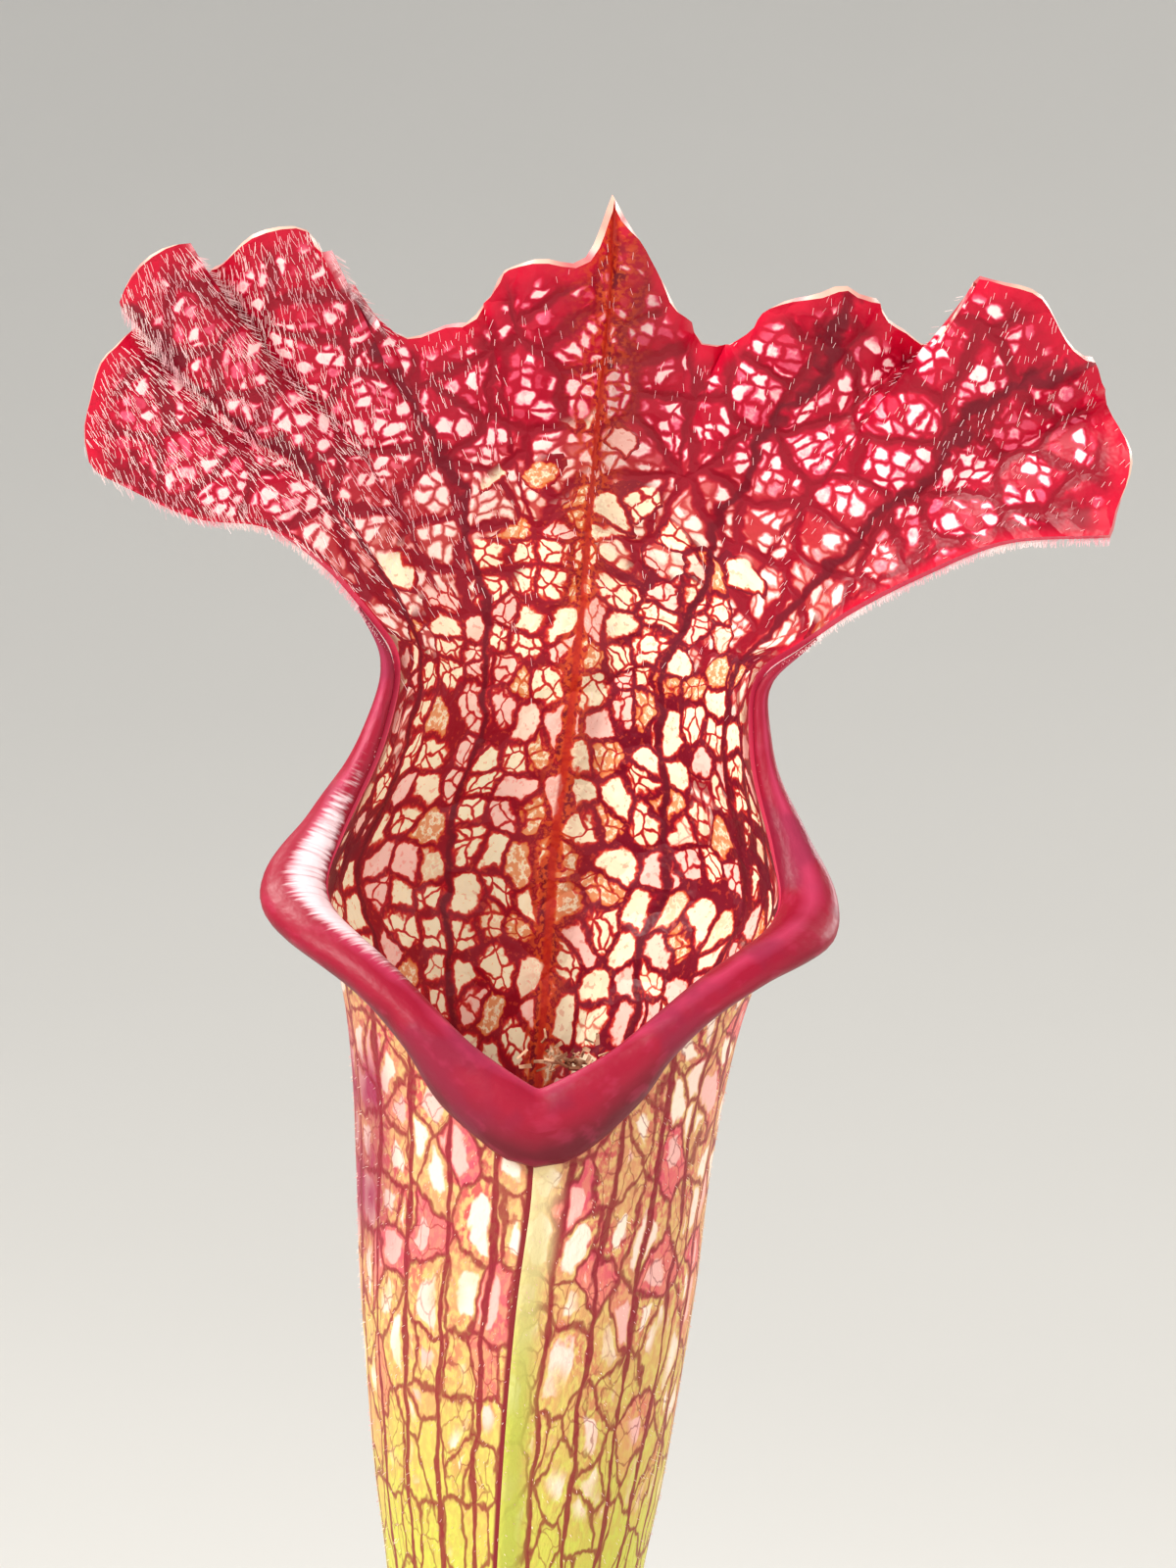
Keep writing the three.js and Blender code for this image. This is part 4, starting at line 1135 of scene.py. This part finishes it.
furled = {
    "path": [[-4, 10, 98], [-11, 20, 140], [-17, 32, 190], [-19, 40, 236]],
    "halfWidth": [
        [0, 2.6], [0.2, 2.4], [0.45, 3.2], [0.68, 5.2], [0.8, 6.4], [0.9, 5.2], [0.97, 2], [1, 0.6],
    ],
    "flatness": [[0, 1], [0.5, 0.85], [0.8, 0.55], [1, 0.5]],
    "rings": 150, "sides": 48, "face": (0.3, -1, 0), "flush": (90, 150), "lines": 12,
    "seamWidth": 0.16, "seamDepth": 0.16, "seamFrom": 0.5,
    "foldAt": 0.71, "foldTilt": 0.03, "foldWidth": 0.006, "foldDepth": 0.1,
}


greenPaint = {
    "ground": ((128, 150, 46), (176, 178, 66)), "foot": (150, 96, 62), "vein": (134, 44, 40),
    "flush": (176, 54, 58), "roughness": 0.48, "coat": 0.12, "coatRoughness": 0.4, "relief": (0.5, 0.15),
}


# a green leaf with long veins, red between two lengths along it
def makeGreenLeaf(name, flush, lines):
    finish, base, shader = newFinish(name)
    ring = base.node("UVMap", {"uv_map": "ring"})
    place = ownPlace(base)
    ground = place.cloud(45, 3).step(0.35, 0.7).tint(*greenPaint["ground"])
    ground = ring.part("Y").step(4, 38).tint(greenPaint["foot"], ground)
    wander = ring.stretched((1, 0.02, 1)).flatCloud(2, 2)
    u = ring.part("X") * lines + wander * 1.2
    vein = u.maths("PINGPONG", u, 0.5).fade(0.02, 0.13)
    net = ring.stretched((lines, 0.28, 1)).edges(1.0).fade(0.02, 0.12)
    red = ring.part("Y").step(*flush)
    colour = ((vein * 0.55).most(net * 0.4 * red)).tint(ground, greenPaint["vein"])
    colour = (red * place.cloud(70, 2).step(0.4, 0.7) * 0.55).tint(colour, greenPaint["flush"])
    grain = vein + place.cloud(600, 2)
    setShader(shader, Base_Color=colour, Roughness=greenPaint["roughness"], Coat_Weight=greenPaint["coat"],
              Coat_Roughness=greenPaint["coatRoughness"], Normal=grain.relief(*greenPaint["relief"]))
    return finish


def makeFurled():
    shares = np.linspace(0, 1, furled["rings"])
    path = curveThrough(furled["path"])
    width = profile(furled["halfWidth"])(shares)
    depth = width * profile(furled["flatness"])(shares)
    rings, ringMap = pathRings(path, shares, furled["face"], furled["sides"], width, depth)
    # the fold where the young lid still covers the mouth, and the seam below it
    turn = turns(furled["sides"])
    front = np.exp(-((np.minimum(turn, 2 * math.pi - turn) / furled["seamWidth"]) ** 2))[None, :]
    fold = front * np.clip((shares - furled["seamFrom"]) * 3, 0, 1)[:, None] * furled["seamDepth"]
    above = shares[:, None] - furled["foldAt"] - furled["foldTilt"] * np.cos(turn)
    fold = fold + furled["foldDepth"] * np.exp(-((above / furled["foldWidth"]) ** 2))
    middle = path(shares)[:, None]
    rings = middle + (rings - middle) * (1 - fold[..., None])
    piece = makeTube("furled_leaf", rings, {"ring": ringMap})
    smooth(piece, 70)
    finish = makeGreenLeaf("youngLeaf", furled["flush"], furled["lines"])
    finishPiece(piece, finish, "pitcher_furled")


flatLeaves = [
    ("flat_leaf_left", [[-12, 9, 97], [-24, 22, 130], [-40, 36, 170], [-60, 46, 204]], (0.55, -0.8, 0.2)),
    ("flat_leaf_right", [[14, -6, 96], [26, -14, 122], [42, -24, 146], [63, -34, 158]], (-0.75, 0.35, 0.6)),
]
flatForm = {
    "halfWidth": [[0, 2.2], [0.25, 3.4], [0.55, 5.6], [0.8, 4.2], [0.95, 1.6], [1, 0.5]],
    "thickness": 1.1, "channel": 0.26, "rib": 1.3, "ribWidth": 0.25, "rings": 120, "half": 14,
    "beadHeight": 0.16, "beadAt": 0.95, "beadWidth": 0.05, "flush": (120, 190), "lines": 9,
}


def makeFlatLeaf(name, points, face, finish):
    shares = np.linspace(0, 1, flatForm["rings"])
    path = curveThrough(points)
    _, facing, across = pathFrame(path, shares, face)
    width = profile(flatForm["halfWidth"])(shares)[:, None]
    thick = flatForm["thickness"] / 2
    front = np.linspace(1, -1, flatForm["half"] + 1)
    back = front[::-1][1:-1]
    a = np.concatenate([front, back])[None, :]
    edge = (1 - a ** 4) * thick
    bead = flatForm["beadHeight"] * np.exp(-(((np.abs(a) - flatForm["beadAt"]) / flatForm["beadWidth"]) ** 2))
    rib = (flatForm["rib"] - 1) * thick * np.exp(-((a / flatForm["ribWidth"]) ** 2))
    lift = np.where(np.arange(a.shape[1]) <= flatForm["half"], edge - bead * 0.4, -edge - rib)
    forward = flatForm["channel"] * width * a ** 2 + lift
    rings = path(shares)[:, None] + across[:, None] * (width * a)[..., None]
    rings = rings + facing[:, None] * forward[..., None]
    length = np.linalg.norm(np.diff(path(shares), axis=0), axis=1).sum()
    ringMap = np.zeros((len(shares), a.shape[1] + 1, 2))
    ringMap[..., 0] = np.append(a[0], a[0, 0])
    ringMap[..., 1] = (shares * length)[:, None]
    piece = makeTube(name + "_blade", rings, {"ring": ringMap})
    smooth(piece, 50)
    finishPiece(piece, finish, name)


makeFurled()
bladeFinish = makeGreenLeaf("bladeGreen", flatForm["flush"], flatForm["lines"])
for name, points, face in flatLeaves:
    makeFlatLeaf(name, points, face, bladeFinish)
print("furled pitcher and flat leaves made")


rootForm = {
    "path": [[-38, 16, 93], [-24, 12, 96], [-8, 5, 97], [6, 0, 97], [19, -4, 95]],
    "radius": [[0, 3], [0.12, 6.5], [0.35, 8], [0.6, 12.5], [0.82, 12], [0.95, 8.5], [1, 5]],
    "ridge": 0.5, "ridgeCount": 9, "flatten": 0.72, "rings": 150, "sides": 64, "scale": 0.35,
    "wander": 0.5, "wanderScale": 0.22,
    "finish": {"colours": ((64, 36, 26), (132, 84, 58)), "scale": 420, "detail": 4, "ends": (0.3, 0.7),
               "stretch": (0.35, 1, 1), "patches": (110, 2, (0.5, 0.7), 0.7, (150, 58, 48)), "rough": 0.75,
               "relief": (0.7, 0.5)},
}


def makeRootstock():
    shares = np.linspace(0, 1, rootForm["rings"])
    path = curveThrough(rootForm["path"])
    ring = rootForm["ridge"] * np.cos(2 * math.pi * rootForm["ridgeCount"] * shares)
    radius = profile(rootForm["radius"])(shares) + ring * np.minimum(1, 4 * shares * (1 - shares))
    flat = radius * rootForm["flatten"]
    rings, ringMap = pathRings(path, shares, (0, 0, 1), rootForm["sides"], radius, flat)
    middle = path(shares)[:, None]
    wander = np.array([[noise.fractal(Vector(p) * rootForm["wanderScale"], 0.8, 2.1, 4) for p in row]
                       for row in rings])
    saw = (rootForm["ridgeCount"] * 2 * shares + 0.2 * wander.mean(axis=1)) % 1
    scar = rootForm["scale"] * (1 - saw)[:, None]
    rings = rings + unit(rings - middle) * (wander * rootForm["wander"] + scar - 0.25)[..., None]
    piece = makeTube("rootstock_bark", rings, {"ring": ringMap})
    smooth(piece, 50)
    finishPiece(piece, grainFinish("rootBark", **rootForm["finish"]), "rootstock")


sheaths = {
    "count": 26, "height": (7, 19), "halfWidth": (2.0, 4.2), "lean": (0.25, 0.7), "wall": 0.35,
    "finish": {"colours": ((92, 56, 36), (176, 132, 88)), "scale": 900, "ends": (0.35, 0.65),
               "stretch": (1, 1, 0.12), "relief": (0.6, 0.3)},
}


# dry papery bases of old leaves round the crown
def makeSheaths():
    made = []
    path = curveThrough(rootForm["path"])
    for k in range(sheaths["count"]):
        share = 0.3 + 0.66 * (k + rng.random()) / sheaths["count"]
        centre = path(np.array([share]))[0]
        turn = rng.uniform(0, 2 * math.pi)
        reach = profile(rootForm["radius"])(share) * 0.8
        foot = centre + [reach * math.cos(turn), 0.8 * reach * math.sin(turn), -0.5]
        high = rng.uniform(*sheaths["height"])
        half = rng.uniform(*sheaths["halfWidth"])
        lean = rng.uniform(*sheaths["lean"])
        out = np.array([math.cos(turn), math.sin(turn), 0])
        side = np.array([-math.sin(turn), math.cos(turn), 0])
        s = np.linspace(-1, 1, 11)[None, :, None]
        t = np.linspace(0, 1, 15)[:, None, None]
        ragged = 1 - t ** 2.2 * (0.75 + 0.25 * np.sin(9 * s + k))
        curve = out * (lean * high * t ** 1.5 - 0.45 * half * s ** 2) + np.array([0, 0, 1]) * high * t
        points = foot + curve + side * half * s * ragged + 0.35 * out * np.sin(7 * s + 5 * t + k)
        sheet = makeSheet(f"sheath{k}", points)
        applyModifier(sheet, "SOLIDIFY", thickness=sheaths["wall"] * mm, offset=0)
        made.append(sheet)
    piece = joined(made)
    piece.name = piece.data.name = "old_leaf_bases"
    smooth(piece, 60)
    finishPiece(piece, grainFinish("dryPaper", **sheaths["finish"]))


makeRootstock()
makeSheaths()
print("rootstock made")


# Soil

soil = {
    "top": 98, "moundHeight": 3, "moundRadius": 30, "radius": 54.55, "bottomRadius": 42.2, "bottom": 3.1,
    "wallFoot": 41.75, "wallFlare": 13 / 96, "wallHeights": (40, 80, 94),
    "lumps": [(0.5, 0.33, 0.2, 1.3), (0.45, -0.24, 0.31, 0.2), (0.3, 0.46, -0.41, 2.1)],
    "crumble": 0.9, "crumbleScale": 0.35, "rings": 130, "sides": 300,
}
peat = {"scale": 800, "detail": 5, "rough": 0.95, "relief": (0.9, 0.7),
        "patches": (120, 3, (0.55, 0.7), 0.6, (30, 20, 16))}
peatColours = {"peatDark": ((44, 30, 22), (92, 64, 44)), "peatCrumb": ((52, 34, 24), (122, 84, 56))}


def peatFinish(name):
    return grainFinish(name, peatColours[name], **peat)


def soilTop(x, y):
    z = soil["top"] + soil["moundHeight"] * np.exp(-((x * x + y * y) / soil["moundRadius"] ** 2))
    for height, across, away, phase in soil["lumps"]:
        z = z + height * np.sin(across * x + away * y + phase)
    spots = np.stack([x.ravel(), y.ravel()], axis=1) * soil["crumbleScale"]
    rough = [noise.fractal(Vector((*spot, 0.7)), 0.7, 2.2, 5) for spot in spots]
    return z + soil["crumble"] * np.reshape(rough, x.shape)


def makeSoil():
    walls = [soil["wallFoot"] + soil["wallFlare"] * z for z in soil["wallHeights"]]
    lower = spun([soil["bottomRadius"], *walls], [soil["bottom"], *soil["wallHeights"]], soil["sides"])
    radii = np.maximum(soil["radius"] * np.linspace(1, 0, soil["rings"]) ** 0.8, 0.02)
    upper = spun(radii, np.zeros(len(radii)), soil["sides"])
    upper[..., 2] = soilTop(upper[..., 0], upper[..., 1])
    piece = makeTube("peat", np.concatenate([lower, upper]))
    smooth(piece, 40)
    finishPiece(piece, peatFinish("peatDark"), "soil")


# a small rough stone or crumb, one across
def makeCrumb(name, levels, rough):
    pick()
    bpy.ops.mesh.primitive_ico_sphere_add(subdivisions=levels, radius=0.5)
    crumb = bpy.context.active_object
    crumb.name = name
    edit(crumb, lambda: bpy.ops.transform.resize(value=(1, 0.8, 0.65)),
         lambda: bpy.ops.transform.vertex_random(offset=rough, seed=3))
    return crumb


def randomTurns(count):
    a = unit(rng.normal(size=(count, 3)))
    b = unit(np.cross(a, rng.normal(size=(count, 3))))
    return np.stack([a, b, np.cross(a, b)], axis=2)


def soilPlaces(count, inner, outer):
    radius = np.sqrt(rng.uniform(inner ** 2, outer ** 2, count))
    turn = rng.uniform(0, 2 * math.pi, count)
    x, y = radius * np.cos(turn), radius * np.sin(turn)
    return np.stack([x, y, soilTop(x, y)], axis=1)


crumbs = {"count": 2600, "middle": 1.3, "spread": 0.45, "sizes": (0.5, 4), "ring": (0, 52.5), "rough": 0.12}
grit = {
    "count": 170, "sizes": (1.2, 3.4), "ring": (14, 52), "rough": 0.07,
    "finish": {"colours": ((206, 200, 186), (238, 236, 228)), "scale": 1500, "rough": 0.9,
               "relief": (0.6, 0.3)},
}


def makeTopDressing():
    count = crumbs["count"]
    sizes = np.exp(rng.normal(math.log(crumbs["middle"]), crumbs["spread"], count)).clip(*crumbs["sizes"])
    places = soilPlaces(count, *crumbs["ring"])
    frames = randomTurns(count) * sizes[:, None, None]
    piece = makeCopies("peat_crumbs", makeCrumb("crumbShape", 1, crumbs["rough"]), places, frames)
    finishPiece(piece, peatFinish("peatCrumb"))
    sizes = rng.uniform(*grit["sizes"], grit["count"])
    places = soilPlaces(grit["count"], *grit["ring"])
    frames = randomTurns(grit["count"]) * sizes[:, None, None]
    piece = makeCopies("perlite_grit", makeCrumb("gritShape", 2, grit["rough"]), places, frames)
    finishPiece(piece, grainFinish("perliteWhite", **grit["finish"]))


moss = {
    "tufts": 1500, "blades": 5, "cushions": 16, "ring": (24, 50), "spread": (2, 5.5), "reach": 52.5,
    "length": (1.0, 2.8), "radius": (0.16, 0.28), "bend": 2, "sunk": 0.2, "finishName": "mossGreen",
    "finish": {"colours": ((58, 84, 24), (138, 156, 52)), "scale": 300, "rough": 0.7},
}


# small bent blades in cushions
def makeMoss():
    count = moss["tufts"]
    seeds = soilPlaces(moss["cushions"], *moss["ring"])
    picked = rng.integers(0, len(seeds), count)
    spread = rng.uniform(*moss["spread"], len(seeds))[picked]
    xy = seeds[picked, :2] + rng.normal(size=(count, 2)) * spread[:, None]
    xy = xy * np.minimum(1, moss["reach"] / np.linalg.norm(xy, axis=1))[:, None]
    z = soilTop(xy[:, 0], xy[:, 1]) - moss["sunk"]
    places = np.repeat(np.column_stack([xy, z]), moss["blades"], axis=0)
    aims = np.array([0, 0, 1.0]) + 0.75 * rng.normal(size=places.shape)
    aims[:, 2] = np.abs(aims[:, 2]) + 0.3
    lengths = rng.uniform(*moss["length"], len(places))
    makeSpikes("moss", moss, places, aims, rng.uniform(*moss["radius"], len(places)), lengths)


makeSoil()
makeTopDressing()
makeMoss()
print("soil made")


# Pot

potForm = {
    "outline": [
        [40.5, 0.9], [41.2, 0.25], [42.4, 0], [43.4, 0.35], [43.9, 1.1], [44.1, 1.9],
        [56.7, 94.6], [56.95, 95.7], [57.4, 96.1], [59.7, 96.5], [60.4, 96.9], [60.65, 97.8],
        [60.75, 99.6], [60.5, 99.9], [60.5, 100.4], [60.78, 100.7],
        [60.95, 107.6], [60.9, 109.0], [60.4, 109.75], [59.6, 110], [59.0, 109.85], [58.55, 109.2],
        [58.35, 107.8], [55.3, 96.4], [55.12, 95.4], [42.7, 4.2], [42.2, 3.0], [41.2, 2.65],
    ],
    "sides": 168, "floorTop": 2.6, "floorUnder": 0.9, "floorInner": 20, "middle": 0.02,
}
drain = {"count": 8, "radius": 4, "ring": 30, "depth": 12, "sides": 40}
potPaint = {"ground": (38, 38, 37), "worn": (74, 70, 64), "splash": (128, 112, 92), "relief": (0.35, 0.12)}


def makePot():
    under, top = ([[r, potForm[key]] for r in (potForm["middle"], potForm["floorInner"])]
                  for key in ("floorUnder", "floorTop"))
    radii, heights = np.array([*under, *potForm["outline"], *top[::-1]]).T
    piece = makeTube("pot_shell", spun(radii, heights, potForm["sides"]))
    cutters = []
    for k in range(drain["count"]):
        angle = 2 * math.pi * (k + 1) / drain["count"]
        place = Vector((math.cos(angle), math.sin(angle), 0)) * drain["ring"] * mm
        bpy.ops.mesh.primitive_cylinder_add(vertices=drain["sides"], radius=drain["radius"] * mm,
                                            depth=drain["depth"] * mm, location=place)
        cutters.append(bpy.context.active_object)
    cutter = joined(cutters)
    applyModifier(piece, "BOOLEAN", operation="DIFFERENCE", object=cutter, solver="EXACT")
    bpy.data.objects.remove(cutter)
    smooth(piece, 35)
    finishPiece(piece, makePotFinish(), "pot")


def makePotFinish():
    finish, base, shader = newFinish("potPlastic")
    place = ownPlace(base)
    height = place.part("Z")
    fine = place.cloud(2600, 3)
    wear = place.stretched((1, 1, 3)).cloud(60, 4).step(0.5, 0.75)
    colour = (wear * 0.35).tint(potPaint["ground"], potPaint["worn"])
    splash = place.cloud(240, 4).step(0.56, 0.7) * height.step(0.06, 0.1, 0.12, 0.75)
    colour = (splash * 0.45).tint(colour, potPaint["splash"])
    rings = height.maths("SINE", height * 9000)
    scratch = place.stretched((1, 1, 14)).cloud(500, 2)
    rough = 0.42 + wear * 0.2 + splash * 0.25
    marks = rings * 0.25 + fine * 0.4 + scratch * 0.5
    setShader(shader, Base_Color=colour, Roughness=rough, Normal=marks.relief(*potPaint["relief"]))
    return finish


makePot()
print("pot made")


# Floor

stage = {  # in metres, curved up at its rim
    "flat": 1.5, "reach": 9.0, "height": 7.0, "rings": 30, "sides": 96,
    "colours": ((230, 228, 223), (196, 194, 188)), "roughness": 0.9,
}


def makeFloor():
    radii = np.concatenate([[0.0], np.linspace(stage["flat"], stage["reach"], stage["rings"])])
    heights = stage["height"] * (np.maximum(radii - stage["flat"], 0) / (stage["reach"] - stage["flat"])) ** 2
    rings = spun(radii / mm, heights / mm, stage["sides"])
    piece = makeTube("studioFloor", rings, ends=False, boxed=False)
    smooth(piece, 80)
    finish, base, shader = newFinish("studioPaper")
    colour = (ownPlace(base).cloud(3, 2) * 0.12).tint(*stage["colours"])
    setShader(shader, Base_Color=colour, Roughness=stage["roughness"])
    piece.data.materials.append(finish)


makeFloor()
print("floor made")
